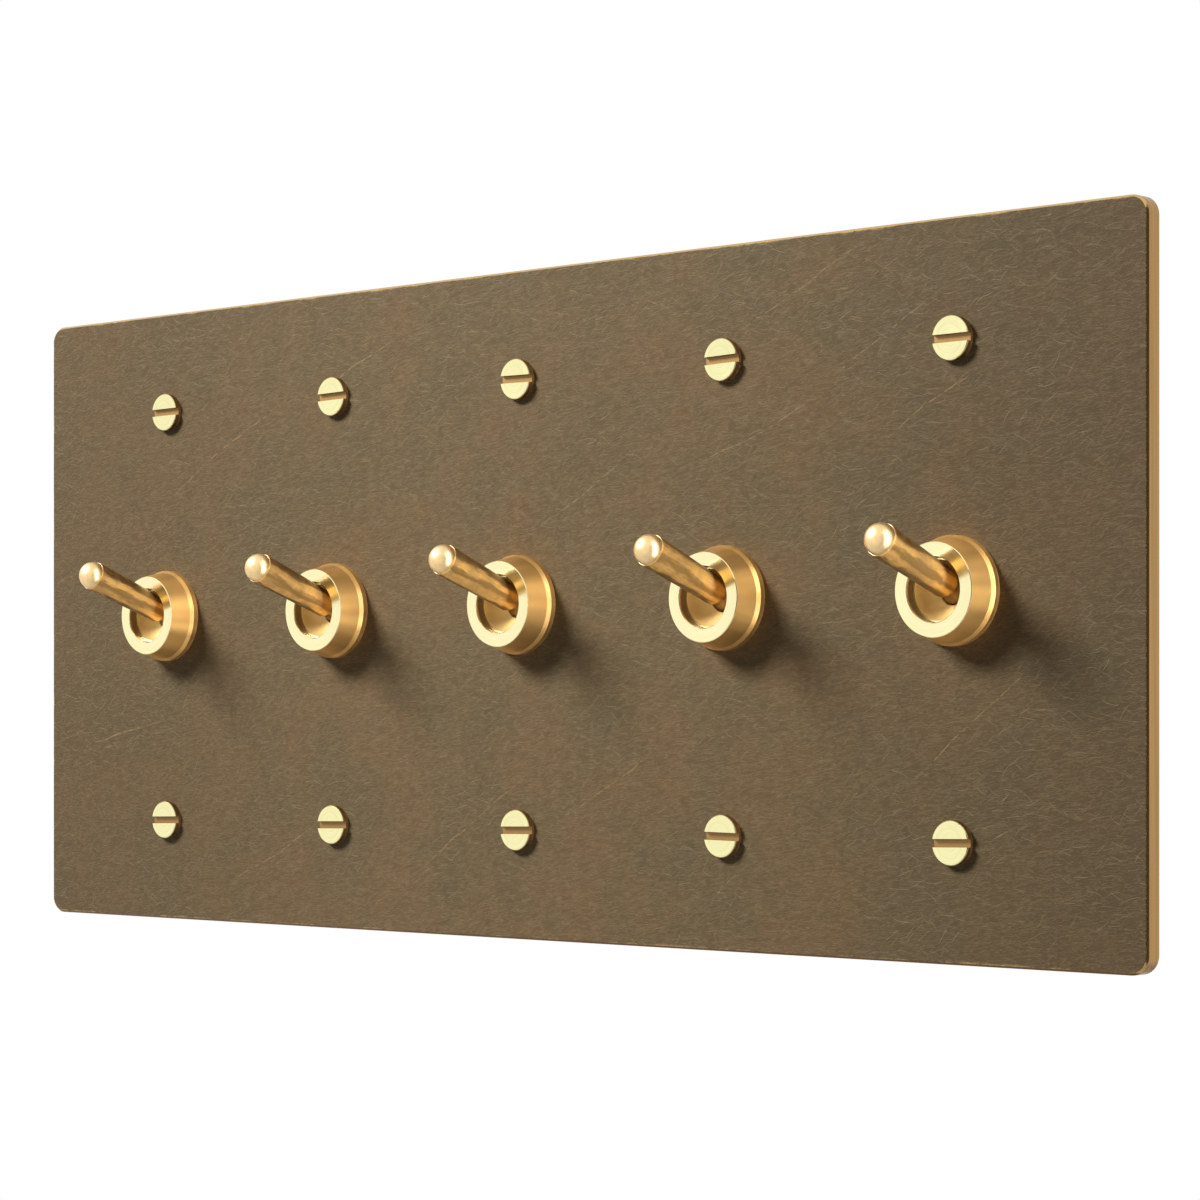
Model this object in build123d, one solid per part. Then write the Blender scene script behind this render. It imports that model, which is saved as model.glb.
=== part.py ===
from build123d import *
import math
import os

# Toggle light switch with five gangs on one plate, in millimetres.
# X runs along the plate, Z is up and Y goes from the front into the wall.
# The wall side of the plate lies on Y = 0 and the plate's middle is the origin.

# Plate
GANGS = 5
GANG_PITCH = 46.04
PLATE_WIDTH = 254.0
PLATE_HEIGHT = 114.3
PLATE_THICKNESS = 3.0
PLATE_CORNER_RADIUS = 3.0
PLATE_EDGE_CHAMFER = 0.35

# Screws that hold the plate to the wall box
SCREW_SPACING = 77.0
SCREW_DIAMETER = 3.5
SCREW_LENGTH = 25.0
SCREW_HEAD_RIM = 1.75
SCREW_HEAD_HEIGHT = 1.2
SCREW_HEAD_CHAMFER = 0.18
SCREW_SLOT_WIDTH = 1.3
SCREW_SLOT_DEPTH = 0.7
SCREW_HOLE_CLEARANCE = 0.25
SCREW_NECK_DIAMETER = 2.9
SCREW_TIP_CHAMFER = 0.58

# Bush
BUSH_DIAMETER = 9.9
BUSH_PROJECTION = 4.0
BUSH_MOUTH_RIM = 0.3
BUSH_DISH_SAG = 0.45
BUSH_THROAT_HEIGHT = 0.5
BUSH_FLANGE_WIDTH = 1.1
BUSH_FLANGE_THICKNESS = 0.8
BUSH_HOLE_CLEARANCE = 0.15
BUSH_CHAMBER_DEPTH = 1.1
THREAD_CLEARANCE = 0.05

# Collar
COLLAR_HEIGHT = 5.45
COLLAR_FACE_WIDTH = 2.3
COLLAR_FLARE = 0.85
COLLAR_SHOULDER_WIDTH = 0.35
COLLAR_SHOULDER_RISE = 0.7
COLLAR_RIM_HEIGHT = 1.0
COLLAR_EDGE = 0.12

# Lever
LEVER_TILT = 20.75
LEVER_REACH = 20.0
LEVER_PIVOT_DEPTH = 0.5
LEVER_TIP_DIAMETER = 5.4
LEVER_SHOULDER_ROUND = 0.1
LEVER_DOME_LEDGE = 0.05
LEVER_FOOT_DIAMETER = 4.65
LEVER_FOOT_START = 2.2
LEVER_FOOT_ROUND = 1.6
LEVER_NECK_DIAMETER = 3.0
BALL_DIAMETER = 4.4
BALL_CLEARANCE = 0.1
TAIL_DIAMETER = 2.8
TAIL_LENGTH = 9.5
TAIL_SWING_CLEARANCE = 0.25
PIN_DIAMETER = 1.6
PIN_CLEARANCE = 0.05
PIN_FIT = 0.01
PIN_INSET = 0.25

# Plunger and its spring
PLUNGER_BORE_DIAMETER = 1.9
PLUNGER_BORE_DEPTH = 6.3
PLUNGER_CLEARANCE = 0.06
PLUNGER_HEAD_DIAMETER = 2.5
PLUNGER_STROKE = 1.1
PLUNGER_STOP_GAP = 0.15
PLUNGER_GUIDE = 2.9
SPRING_WIRE = 0.25
SPRING_TURNS = 5
SPRING_END_GAP = 0.03

# Rocker
ROCKER_TILT = 7.0
ROCKER_THICKNESS = 0.8
ROCKER_WIDTH = 6.4
ROCKER_MIDDLE_GAP = 0.2
ROCKER_END_GAP = 0.12
ROCKER_CRADLE_ANGLE = 50.0
ROCKER_WING = 3.1
CONTACT_DIAMETER = 2.4
CONTACT_HEIGHT = 0.5
CONTACT_CLEARANCE = 0.05
TRUNNION_DIAMETER = 1.2
TRUNNION_CLEARANCE = 0.05

# Terminals
TERMINAL_THICKNESS = 0.8
TERMINAL_WIDTH = 4.4
TERMINAL_CLEARANCE = 0.05
PAD_THICKNESS = 1.0
PAD_OVERHANG = 0.8
COMMON_PAD_HEIGHT = 5.2
PAD_GAP = 0.5
EAR_CLEARANCE = 0.3
EAR_HEIGHT = 3.0
EAR_LIP = 0.9
TERMINAL_SCREW_DIAMETER = 3.0
TERMINAL_SCREW_HEAD_RIM = 0.9
TERMINAL_SCREW_HEAD_HEIGHT = 1.6
TERMINAL_SCREW_HEAD_CHAMFER = 0.25
TERMINAL_SCREW_SLOT = 0.8
TERMINAL_SCREW_BITE = 2.0
TERMINAL_SCREW_CLEARANCE = 0.05
PILOT_CLEARANCE = 0.15

# Switch body, frame and nut
WASHER_THICKNESS = 0.6
WASHER_RIM = 2.9
WASHER_TEETH = 12
WASHER_TOOTH_LENGTH = 0.97
NUT_THICKNESS = 2.4
NUT_FLATS_RIM = 2.0
NUT_BEVEL = 0.64
NUT_TO_FRAME_GAP = 0.2
FRAME_THICKNESS = 1.0
FRAME_BEND_RADIUS = 1.2
FRAME_CORNER_RADIUS = 1.5
FRAME_CLEARANCE = 0.05
FRAME_LEG_LENGTH = 8.0
FRAME_LEG_WIDTH = 10.0
FRAME_WINDOW_WIDTH = 5.0
FRAME_WINDOW_HEIGHT = 2.0
FRAME_WINDOW_MARGIN = 1.6
HOUSING_WALL = 2.0
HOUSING_END_WALL = 2.2
HOUSING_FLOOR = 3.0
HOUSING_FLOOR_GAP = 2.2
HOUSING_RECESS_CLEARANCE = 0.1
HOUSING_CORNER_RADIUS = 1.2
CAVITY_MARGIN = 0.7
WING_END_GAP = 1.0
LUG_HEIGHT = 0.65
LUG_CLEARANCE = 0.12
BARRIER_THICKNESS = 1.0
BARRIER_HEIGHT = 3.0

# How far a cut runs past the face it opens, and how far an added piece is rooted in what carries it
OVERCUT = 1.0
ROOT = 0.3

# Places along the depth
front_y = -PLATE_THICKNESS
pivot_y = front_y + LEVER_PIVOT_DEPTH
nut_y = WASHER_THICKNESS
frame_y = nut_y + NUT_THICKNESS + NUT_TO_FRAME_GAP
body_y = frame_y + FRAME_THICKNESS

# Radii that follow from the bush
bush_r = BUSH_DIAMETER / 2
thread_r = bush_r + THREAD_CLEARANCE
collar_front_r = thread_r + COLLAR_FACE_WIDTH
collar_shoulder_r = collar_front_r + COLLAR_FLARE
collar_base_r = collar_shoulder_r + COLLAR_SHOULDER_WIDTH
flange_r = bush_r + BUSH_FLANGE_WIDTH
ball_r = BALL_DIAMETER / 2
chamber_r = ball_r + BALL_CLEARANCE
tail_r = TAIL_DIAMETER / 2
pin_r = PIN_DIAMETER / 2
tilt = math.radians(LEVER_TILT)
cos_45 = math.sqrt(0.5)

# Plunger, measured back along the lever from its pivot
head_r = PLUNGER_HEAD_DIAMETER / 2
bore_r = PLUNGER_BORE_DIAMETER / 2
shoulder_t = TAIL_LENGTH + PLUNGER_STROKE + PLUNGER_STOP_GAP
stem_t = TAIL_LENGTH - PLUNGER_GUIDE
bore_t = TAIL_LENGTH - PLUNGER_BORE_DEPTH

# Rocker cradle, an arc that stays just clear of the plunger from one end of its swing to the other
cradle_y = pivot_y + shoulder_t + head_r + ROCKER_MIDDLE_GAP
rocker_y = cradle_y + ROCKER_THICKNESS / 2
rock = math.radians(ROCKER_TILT)
end_a = pivot_y + shoulder_t * math.cos(tilt) - rocker_y
end_b = -shoulder_t * math.sin(tilt)
end_m = rocker_y - cradle_y + head_r + ROCKER_END_GAP
end_lean = end_a * math.cos(rock) + end_b * math.sin(rock) + end_m
cradle_centre = (end_m ** 2 - end_a ** 2 - end_b ** 2) / (2 * end_lean)
cradle_r = cradle_y - rocker_y + cradle_centre
cradle_mid_y = rocker_y - cradle_centre
cradle_half = math.radians(ROCKER_CRADLE_ANGLE)
wing_y = cradle_mid_y + cradle_r * math.cos(cradle_half)
wing_start_z = cradle_r * math.sin(cradle_half)
wing_end_z = wing_start_z + ROCKER_WING
contact_r = CONTACT_DIAMETER / 2
contact_z = wing_end_z - contact_r
button_y = wing_y + ROCKER_THICKNESS + CONTACT_HEIGHT
button_dip = (button_y - rocker_y) * math.cos(rock) + wing_end_z * math.sin(rock)
fixed_y = rocker_y + button_dip + CONTACT_CLEARANCE
foot_y = fixed_y + CONTACT_HEIGHT

# Switch body
ear_x = ROCKER_WIDTH / 2 + EAR_CLEARANCE
ear_end_x = ear_x + TERMINAL_THICKNESS
cavity_x = max(ear_end_x + CAVITY_MARGIN, tail_r + CAVITY_MARGIN)
cavity_z = wing_end_z + WING_END_GAP + TERMINAL_THICKNESS
post_z = cavity_z - TERMINAL_THICKNESS / 2 - TERMINAL_CLEARANCE
housing_x = max(cavity_x, flange_r + HOUSING_RECESS_CLEARANCE - HOUSING_WALL / 2) + HOUSING_WALL
housing_z = cavity_z + HOUSING_END_WALL
floor_y = foot_y + TERMINAL_THICKNESS + HOUSING_FLOOR_GAP
back_y = floor_y + HOUSING_FLOOR
terminal_screw_r = TERMINAL_SCREW_DIAMETER / 2
terminal_head_r = terminal_screw_r + TERMINAL_SCREW_HEAD_RIM
barrier_z = COMMON_PAD_HEIGHT / 2 + PAD_GAP + BARRIER_THICKNESS / 2
throw_pad_z = barrier_z + BARRIER_THICKNESS / 2 + PAD_GAP
throw_pad_end_z = max(post_z + TERMINAL_THICKNESS / 2, throw_pad_z + 2 * terminal_head_r)
throw_screw_z = (throw_pad_z + throw_pad_end_z) / 2
leg_x = housing_x + FRAME_CLEARANCE
window_y = frame_y + FRAME_THICKNESS + FRAME_LEG_LENGTH - FRAME_WINDOW_MARGIN - FRAME_WINDOW_HEIGHT


def gang_places():
    """The X position of each gang, from left to right."""
    return [(i - (GANGS - 1) / 2) * GANG_PITCH for i in range(GANGS)]


def turned(edges):
    """A solid turned about the Y axis from a closed outline of radius and depth."""
    return revolve(make_face(edges), axis=Axis.Y)


def outline(points):
    """The straight edges of a closed outline."""
    return Polyline(*points, close=True).edges()


def block(x0, x1, y0, y1, z0, z1):
    """A box between two opposite corners."""
    middle = ((x0 + x1) / 2, (y0 + y1) / 2, (z0 + z1) / 2)
    return Pos(*middle) * Box(x1 - x0, y1 - y0, z1 - z0)


def rod(radius, y0, y1, x=0.0, z=0.0):
    """A round bar along Y."""
    return Pos(x, (y0 + y1) / 2, z) * Rot(90, 0, 0) * Cylinder(radius, y1 - y0)


def cross_rod(radius, x0, x1, y):
    """A round bar along X at a given depth."""
    return Pos((x0 + x1) / 2, y, 0) * Rot(0, 90, 0) * Cylinder(radius, x1 - x0)


def make_plate():
    """The plate with its rounded corners, chamfered front edge, bush holes and screw holes."""
    blank = RectangleRounded(PLATE_WIDTH, PLATE_HEIGHT, PLATE_CORNER_RADIUS)
    plate = extrude(Plane.XZ * blank, PLATE_THICKNESS)
    front = plate.faces().sort_by(Axis.Y)[0]
    plate = chamfer(front.edges(), PLATE_EDGE_CHAMFER)
    for x in gang_places():
        plate -= rod(bush_r + BUSH_HOLE_CLEARANCE, front_y - OVERCUT, OVERCUT, x)
        for z in (-SCREW_SPACING / 2, SCREW_SPACING / 2):
            plate -= rod(SCREW_DIAMETER / 2 + SCREW_HOLE_CLEARANCE, front_y - OVERCUT, OVERCUT, x, z)
    return plate


def make_plate_screw():
    """A slotted screw whose flat head bears on the plate's front, with a plain neck through the plate."""
    r = SCREW_DIAMETER / 2
    neck_r = SCREW_NECK_DIAMETER / 2
    head = r + SCREW_HEAD_RIM
    top = front_y - SCREW_HEAD_HEIGHT
    end = front_y + SCREW_LENGTH
    screw = turned(outline([
        (0, top),
        (head - SCREW_HEAD_CHAMFER, top),
        (head, top + SCREW_HEAD_CHAMFER),
        (head, front_y),
        (neck_r, front_y),
        (neck_r, 0),
        (r, 0),
        (r, end - SCREW_TIP_CHAMFER),
        (r - SCREW_TIP_CHAMFER, end),
        (0, end),
    ]))
    return screw - block(-head - OVERCUT, head + OVERCUT, top - OVERCUT, top + SCREW_SLOT_DEPTH,
                         -SCREW_SLOT_WIDTH / 2, SCREW_SLOT_WIDTH / 2)


def make_collar():
    """The conical ring nut with a flat face, a shoulder and a short upright rim."""
    face = front_y - COLLAR_HEIGHT
    rim = front_y - COLLAR_RIM_HEIGHT
    return turned(outline([
        (thread_r, front_y),
        (collar_base_r, front_y),
        (collar_base_r, rim),
        (collar_shoulder_r, rim - COLLAR_SHOULDER_RISE),
        (collar_front_r, face + COLLAR_EDGE),
        (collar_front_r - COLLAR_EDGE, face),
        (thread_r + COLLAR_EDGE, face),
        (thread_r, face + COLLAR_EDGE),
    ]))


def make_bush():
    """The bush with a dished mouth, a chamber for the ball, a flared back and a flange."""
    mouth_y = front_y - BUSH_PROJECTION
    mouth_r = bush_r - BUSH_MOUTH_RIM
    throat_y = front_y - BUSH_THROAT_HEIGHT
    flange_y = body_y + BUSH_FLANGE_THICKNESS
    chamber_end_y = pivot_y + BUSH_CHAMBER_DEPTH
    back_t = (flange_y - pivot_y + tail_r * math.sin(tilt)) / math.cos(tilt)
    back_r = back_t * math.sin(tilt) + tail_r * math.cos(tilt) + TAIL_SWING_CLEARANCE
    run_r = mouth_r - chamber_r
    run_y = throat_y - mouth_y
    run = math.hypot(run_r, run_y)
    sag_r = (mouth_r + chamber_r) / 2 + BUSH_DISH_SAG * run_y / run
    sag_y = (mouth_y + throat_y) / 2 + BUSH_DISH_SAG * run_r / run
    dish = ThreePointArc((mouth_r, mouth_y), (sag_r, sag_y), (chamber_r, throat_y))
    wall = Polyline(
        (chamber_r, throat_y),
        (chamber_r, chamber_end_y),
        (back_r, flange_y),
        (flange_r, flange_y),
        (flange_r, body_y),
        (bush_r, body_y),
        (bush_r, mouth_y),
        (mouth_r, mouth_y),
    )
    bush = turned([dish.edge()] + list(wall.edges()))
    return bush - cross_rod(pin_r + PIN_FIT, -bush_r - OVERCUT, bush_r + OVERCUT, pivot_y)


def lever_point(r, t):
    """A point of the lever's outline, at radius r and distance t in front of the pivot."""
    return (r, -t)


def make_lever():
    """The lever with its dome, rounded shoulder, tapered rod, rounded foot, ball and drilled tail."""
    tip_r = LEVER_TIP_DIAMETER / 2
    ledge_r = tip_r - LEVER_SHOULDER_ROUND
    dome_r = ledge_r - LEVER_DOME_LEDGE
    shoulder_start = LEVER_REACH - LEVER_SHOULDER_ROUND
    shoulder_mid = LEVER_SHOULDER_ROUND * cos_45
    foot_r = LEVER_FOOT_DIAMETER / 2
    neck_r = LEVER_NECK_DIAMETER / 2
    foot_end = LEVER_FOOT_START + LEVER_FOOT_ROUND
    ball_back = math.sqrt(ball_r ** 2 - tail_r ** 2)
    ball_front = math.sqrt(ball_r ** 2 - neck_r ** 2)
    swell_r = neck_r + (foot_r - neck_r) * cos_45
    swell_t = LEVER_FOOT_START + LEVER_FOOT_ROUND * (1 - cos_45)
    dome_mid = dome_r * cos_45
    edges = [
        Line(lever_point(0, -TAIL_LENGTH), lever_point(tail_r, -TAIL_LENGTH)),
        Line(lever_point(tail_r, -TAIL_LENGTH), lever_point(tail_r, -ball_back)),
        ThreePointArc(
            lever_point(tail_r, -ball_back), lever_point(ball_r, 0), lever_point(neck_r, ball_front)
        ),
        Line(lever_point(neck_r, ball_front), lever_point(neck_r, LEVER_FOOT_START)),
        ThreePointArc(lever_point(neck_r, LEVER_FOOT_START), lever_point(swell_r, swell_t),
                      lever_point(foot_r, foot_end)),
        Line(lever_point(foot_r, foot_end), lever_point(tip_r, shoulder_start)),
        ThreePointArc(lever_point(tip_r, shoulder_start),
                      lever_point(ledge_r + shoulder_mid, shoulder_start + shoulder_mid),
                      lever_point(ledge_r, LEVER_REACH)),
        Line(lever_point(ledge_r, LEVER_REACH), lever_point(dome_r, LEVER_REACH)),
        ThreePointArc(lever_point(dome_r, LEVER_REACH), lever_point(dome_mid, LEVER_REACH + dome_mid),
                      lever_point(0, LEVER_REACH + dome_r)),
        Line(lever_point(0, LEVER_REACH + dome_r), lever_point(0, -TAIL_LENGTH)),
    ]
    lever = turned([e.edge() for e in edges])
    lever -= cross_rod(pin_r + PIN_CLEARANCE, -ball_r - OVERCUT, ball_r + OVERCUT, 0)
    return lever - rod(bore_r, bore_t, TAIL_LENGTH + OVERCUT)


def make_plunger():
    """The plunger, a stem with a round-ended head, in the lever's own frame."""
    stem_r = bore_r - PLUNGER_CLEARANCE
    end = shoulder_t + head_r
    mid = head_r * cos_45
    edges = [
        Line((0, stem_t), (stem_r, stem_t)),
        Line((stem_r, stem_t), (stem_r, shoulder_t)),
        Line((stem_r, shoulder_t), (head_r, shoulder_t)),
        ThreePointArc((head_r, shoulder_t), (mid, shoulder_t + mid), (0, end)),
        Line((0, end), (0, stem_t)),
    ]
    return turned([e.edge() for e in edges])


def make_spring():
    """The coil spring between the plunger's stem and the bottom of its bore, in the lever's own frame."""
    coil_r = bore_r - PLUNGER_CLEARANCE - SPRING_WIRE / 2
    height = stem_t - bore_t - SPRING_WIRE - 2 * SPRING_END_GAP
    path = Helix(pitch=height / SPRING_TURNS, height=height, radius=coil_r)
    section = Plane(origin=path @ 0, z_dir=path % 0) * Rectangle(SPRING_WIRE, SPRING_WIRE)
    coil = sweep(section, path=path, is_frenet=True)
    return Pos(0, bore_t + SPRING_END_GAP + SPRING_WIRE / 2, 0) * Rot(-90, 0, 0) * coil


def seat_on_pivot(part):
    """A piece of the lever's own frame, tilted up and set on the pivot."""
    return Pos(0, pivot_y, 0) * Rot(-LEVER_TILT, 0, 0) * part


def rocker_outline():
    """The side outline of the rocker: a curved cradle with a flat wing at each end."""
    outer_r = cradle_r + ROCKER_THICKNESS
    wing_back_y = wing_y + ROCKER_THICKNESS
    outer_z = math.sqrt(outer_r ** 2 - (wing_back_y - cradle_mid_y) ** 2)
    inner = ThreePointArc((wing_y, -wing_start_z), (cradle_y, 0), (wing_y, wing_start_z))
    outer = ThreePointArc((wing_back_y, outer_z), (cradle_mid_y + outer_r, 0), (wing_back_y, -outer_z))
    end = [(wing_y, wing_start_z), (wing_y, wing_end_z), (wing_back_y, wing_end_z), (wing_back_y, outer_z)]
    upper = Polyline(*end)
    lower = Polyline(*[(y, -z) for y, z in reversed(end)])
    return [inner.edge()] + list(upper.edges()) + [outer.edge()] + list(lower.edges())


def make_rocker():
    """The rocking contact with a button at each end and a trunnion on each side."""
    half = ROCKER_WIDTH / 2
    rocker = Pos(-half, 0, 0) * extrude(Plane.YZ * make_face(rocker_outline()), ROCKER_WIDTH)
    for z in (-contact_z, contact_z):
        rocker += rod(contact_r, wing_y + ROCKER_THICKNESS - ROOT, button_y, 0, z)
    for side in (-1, 1):
        inner, outer = sorted((side * (half - ROOT), side * ear_end_x))
        rocker += cross_rod(TRUNNION_DIAMETER / 2, inner, outer, rocker_y)
    return Pos(0, rocker_y, 0) * Rot(ROCKER_TILT, 0, 0) * Pos(0, -rocker_y, 0) * rocker


def make_common_terminal():
    """The forked terminal: a pad behind the body and two ears that carry the trunnions."""
    pad_end = back_y + PAD_THICKNESS
    pad_half = COMMON_PAD_HEIGHT / 2
    notch_r = TRUNNION_DIAMETER / 2 + TRUNNION_CLEARANCE
    tip_y = rocker_y - EAR_LIP
    terminal = block(-ear_end_x, ear_end_x, back_y, pad_end, -pad_half, pad_half)
    terminal -= rod(terminal_screw_r + TERMINAL_SCREW_CLEARANCE, back_y - OVERCUT, pad_end + OVERCUT)
    for x0, x1 in ((-ear_end_x, -ear_x), (ear_x, ear_end_x)):
        ear = block(x0, x1, tip_y, back_y, -EAR_HEIGHT / 2, EAR_HEIGHT / 2)
        ear -= cross_rod(notch_r, x0 - OVERCUT, x1 + OVERCUT, rocker_y)
        ear -= block(x0 - OVERCUT, x1 + OVERCUT, tip_y - OVERCUT, rocker_y, -notch_r, notch_r)
        terminal += ear
    return terminal


def make_throw_terminal(side):
    """A fixed contact on a folded strip that passes through the floor to a screw pad, above or below."""
    half = TERMINAL_WIDTH / 2
    post_in = post_z - TERMINAL_THICKNESS / 2
    post_out = post_z + TERMINAL_THICKNESS / 2
    pad_end = back_y + PAD_THICKNESS
    foot_in = contact_z - contact_r
    foot = block(-half, half, foot_y, foot_y + TERMINAL_THICKNESS, foot_in, post_out)
    post = block(-half, half, foot_y, pad_end, post_in, post_out)
    pad = block(-half - PAD_OVERHANG, half + PAD_OVERHANG, back_y, pad_end, throw_pad_z, throw_pad_end_z)
    terminal = foot + post + pad + rod(contact_r, fixed_y, foot_y + ROOT, 0, contact_z)
    hole_r = terminal_screw_r + TERMINAL_SCREW_CLEARANCE
    terminal -= rod(hole_r, back_y - OVERCUT, pad_end + OVERCUT, 0, throw_screw_z)
    return terminal if side > 0 else Rot(0, 180, 0) * terminal


def make_terminal_screw():
    """A slotted screw that clamps a wire to its pad, at the middle of the body."""
    seat = back_y + PAD_THICKNESS
    top = seat + TERMINAL_SCREW_HEAD_HEIGHT
    screw = turned(outline([
        (0, back_y - TERMINAL_SCREW_BITE),
        (terminal_screw_r, back_y - TERMINAL_SCREW_BITE),
        (terminal_screw_r, seat),
        (terminal_head_r, seat),
        (terminal_head_r, top - TERMINAL_SCREW_HEAD_CHAMFER),
        (terminal_head_r - TERMINAL_SCREW_HEAD_CHAMFER, top),
        (0, top),
    ]))
    slot = TERMINAL_SCREW_SLOT
    reach = terminal_head_r + OVERCUT
    return screw - block(-reach, reach, top - slot, top + OVERCUT, -slot / 2, slot / 2)


def make_housing():
    """The moulded body with its cavity, flange recess, terminal slots, pilot holes, barriers and lugs."""
    body = block(-housing_x, housing_x, body_y, back_y, -housing_z, housing_z)
    body = fillet(body.edges().filter_by(Axis.Y), HOUSING_CORNER_RADIUS)
    body -= block(-cavity_x, cavity_x, body_y - OVERCUT, floor_y, -cavity_z, cavity_z)
    body -= rod(flange_r + HOUSING_RECESS_CLEARANCE, body_y - OVERCUT,
                body_y + BUSH_FLANGE_THICKNESS + HOUSING_RECESS_CLEARANCE)
    gap = TERMINAL_CLEARANCE
    half = TERMINAL_WIDTH / 2 + gap
    slot_in = post_z - TERMINAL_THICKNESS / 2 - gap
    slot_out = post_z + TERMINAL_THICKNESS / 2 + gap
    ear_half = EAR_HEIGHT / 2 + gap
    pilot_r = terminal_screw_r + PILOT_CLEARANCE
    pilot_y = back_y - TERMINAL_SCREW_BITE - PILOT_CLEARANCE
    floor = (floor_y - OVERCUT, back_y + OVERCUT)
    for side in (-1, 1):
        body -= block(-half, half, *floor, *sorted((side * slot_in, side * slot_out)))
        ear = sorted((side * (ear_x - gap), side * (ear_end_x + gap)))
        body -= block(*ear, *floor, -ear_half, ear_half)
    for z in (-throw_screw_z, 0, throw_screw_z):
        body -= rod(pilot_r, pilot_y, back_y + OVERCUT, 0, z)
    for z in (-barrier_z, barrier_z):
        body += block(-cavity_x, cavity_x, back_y - ROOT, back_y + BARRIER_HEIGHT,
                      z - BARRIER_THICKNESS / 2, z + BARRIER_THICKNESS / 2)
    lug_y0 = window_y + LUG_CLEARANCE
    lug_y1 = window_y + FRAME_WINDOW_HEIGHT - LUG_CLEARANCE
    lug_z = FRAME_WINDOW_WIDTH / 2 - LUG_CLEARANCE
    lug = make_face(outline([
        (housing_x - ROOT, lug_y0),
        (housing_x, lug_y0),
        (housing_x + LUG_HEIGHT, lug_y1),
        (housing_x - ROOT, lug_y1),
    ]))
    lug = Pos(0, 0, -lug_z) * extrude(lug, 2 * lug_z, dir=(0, 0, 1))
    return body + lug + Rot(0, 180, 0) * lug


def make_frame():
    """The folded saddle: a plate round the bush and a leg with a window on each side of the body."""
    outer = leg_x + FRAME_THICKNESS
    leg_end = body_y + FRAME_LEG_LENGTH
    leg_half = FRAME_LEG_WIDTH / 2
    bend = FRAME_BEND_RADIUS
    arc_mid = bend * (1 - cos_45)
    saddle = block(-leg_x, leg_x, frame_y, body_y, -housing_z, housing_z)
    saddle = fillet(saddle.edges().filter_by(Axis.Y), FRAME_CORNER_RADIUS)
    saddle -= rod(thread_r, frame_y - OVERCUT, body_y + OVERCUT)
    fold = ThreePointArc(
        (outer - bend, frame_y), (outer - arc_mid, frame_y + arc_mid), (outer, frame_y + bend)
    )
    strip = Polyline((outer, frame_y + bend), (outer, leg_end), (leg_x, leg_end), (leg_x, body_y),
                     (leg_x - ROOT, body_y), (leg_x - ROOT, frame_y), (outer - bend, frame_y))
    leg = make_face([fold.edge()] + list(strip.edges()))
    leg = Pos(0, 0, -leg_half) * extrude(leg, 2 * leg_half, dir=(0, 0, 1))
    leg -= block(leg_x - OVERCUT, outer + OVERCUT, window_y, window_y + FRAME_WINDOW_HEIGHT,
                 -FRAME_WINDOW_WIDTH / 2, FRAME_WINDOW_WIDTH / 2)
    return saddle + leg + Rot(0, 180, 0) * leg


def make_nut():
    """A hexagon nut with chamfered corners."""
    flats_r = bush_r + NUT_FLATS_RIM
    corner_r = flats_r / math.cos(math.pi / 6)
    nut = extrude(Plane.XZ * RegularPolygon(corner_r, 6), -NUT_THICKNESS)
    bevel = NUT_BEVEL
    dome = turned(outline([
        (0, 0),
        (corner_r - bevel, 0),
        (corner_r, bevel),
        (corner_r, NUT_THICKNESS - bevel),
        (corner_r - bevel, NUT_THICKNESS),
        (0, NUT_THICKNESS),
    ]))
    return Pos(0, nut_y, 0) * ((nut & dome) - rod(thread_r, -OVERCUT, NUT_THICKNESS + OVERCUT))


def make_washer():
    """A washer with teeth round its inner edge."""
    through = (-OVERCUT, WASHER_THICKNESS + OVERCUT)
    washer = rod(thread_r + WASHER_RIM, 0, WASHER_THICKNESS) - rod(thread_r, *through)
    notch = math.pi * thread_r / WASHER_TEETH
    cut = block(thread_r - OVERCUT, thread_r + WASHER_TOOTH_LENGTH, *through, -notch / 2, notch / 2)
    for i in range(WASHER_TEETH):
        washer -= Rot(0, i * 360 / WASHER_TEETH, 0) * cut
    return washer


def one_gang():
    """Each piece of one gang by name, placed for a gang at the middle of the plate."""
    throws = [make_throw_terminal(1), make_throw_terminal(-1)]
    return {
        "collar": make_collar(),
        "bush": make_bush(),
        "toggle_lever": seat_on_pivot(make_lever()),
        "pivot_pin": cross_rod(pin_r, -bush_r + PIN_INSET, bush_r - PIN_INSET, pivot_y),
        "plunger": seat_on_pivot(make_plunger()),
        "plunger_spring": seat_on_pivot(make_spring()),
        "rocker": make_rocker(),
        "common_terminal": make_common_terminal(),
        "throw_terminals": Compound(children=[t.solid() for t in throws]),
        "frame": make_frame(),
        "housing": make_housing(),
    }


def copies(part, places):
    """One compound of separate solids, a copy of the part at each place."""
    return Compound(children=[(Pos(*place) * part).solid() for place in places])


def main():
    """Build every piece and write it to the parts folder."""
    os.makedirs("parts", exist_ok=True)
    places = gang_places()
    half = SCREW_SPACING / 2
    export_step(make_plate().solid(), "parts/face_plate.step")
    shared = {
        "plate_screws": copies(make_plate_screw(), [(x, 0, z) for x in places for z in (half, -half)]),
        "terminal_screws": copies(make_terminal_screw(),
                                  [(x, 0, z) for x in places for z in (throw_screw_z, 0, -throw_screw_z)]),
        "lock_nuts": copies(make_nut(), [(x, 0, 0) for x in places]),
        "lock_washers": copies(make_washer(), [(x, 0, 0) for x in places]),
    }
    for name, part in shared.items():
        export_step(part, f"parts/{name}.step")
    for name, part in one_gang().items():
        for i, x in enumerate(places, start=1):
            placed = Pos(x, 0, 0) * part
            if name != "throw_terminals":
                placed = placed.solid()
            export_step(placed, f"parts/{name}_{i}.step")


main()
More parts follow.
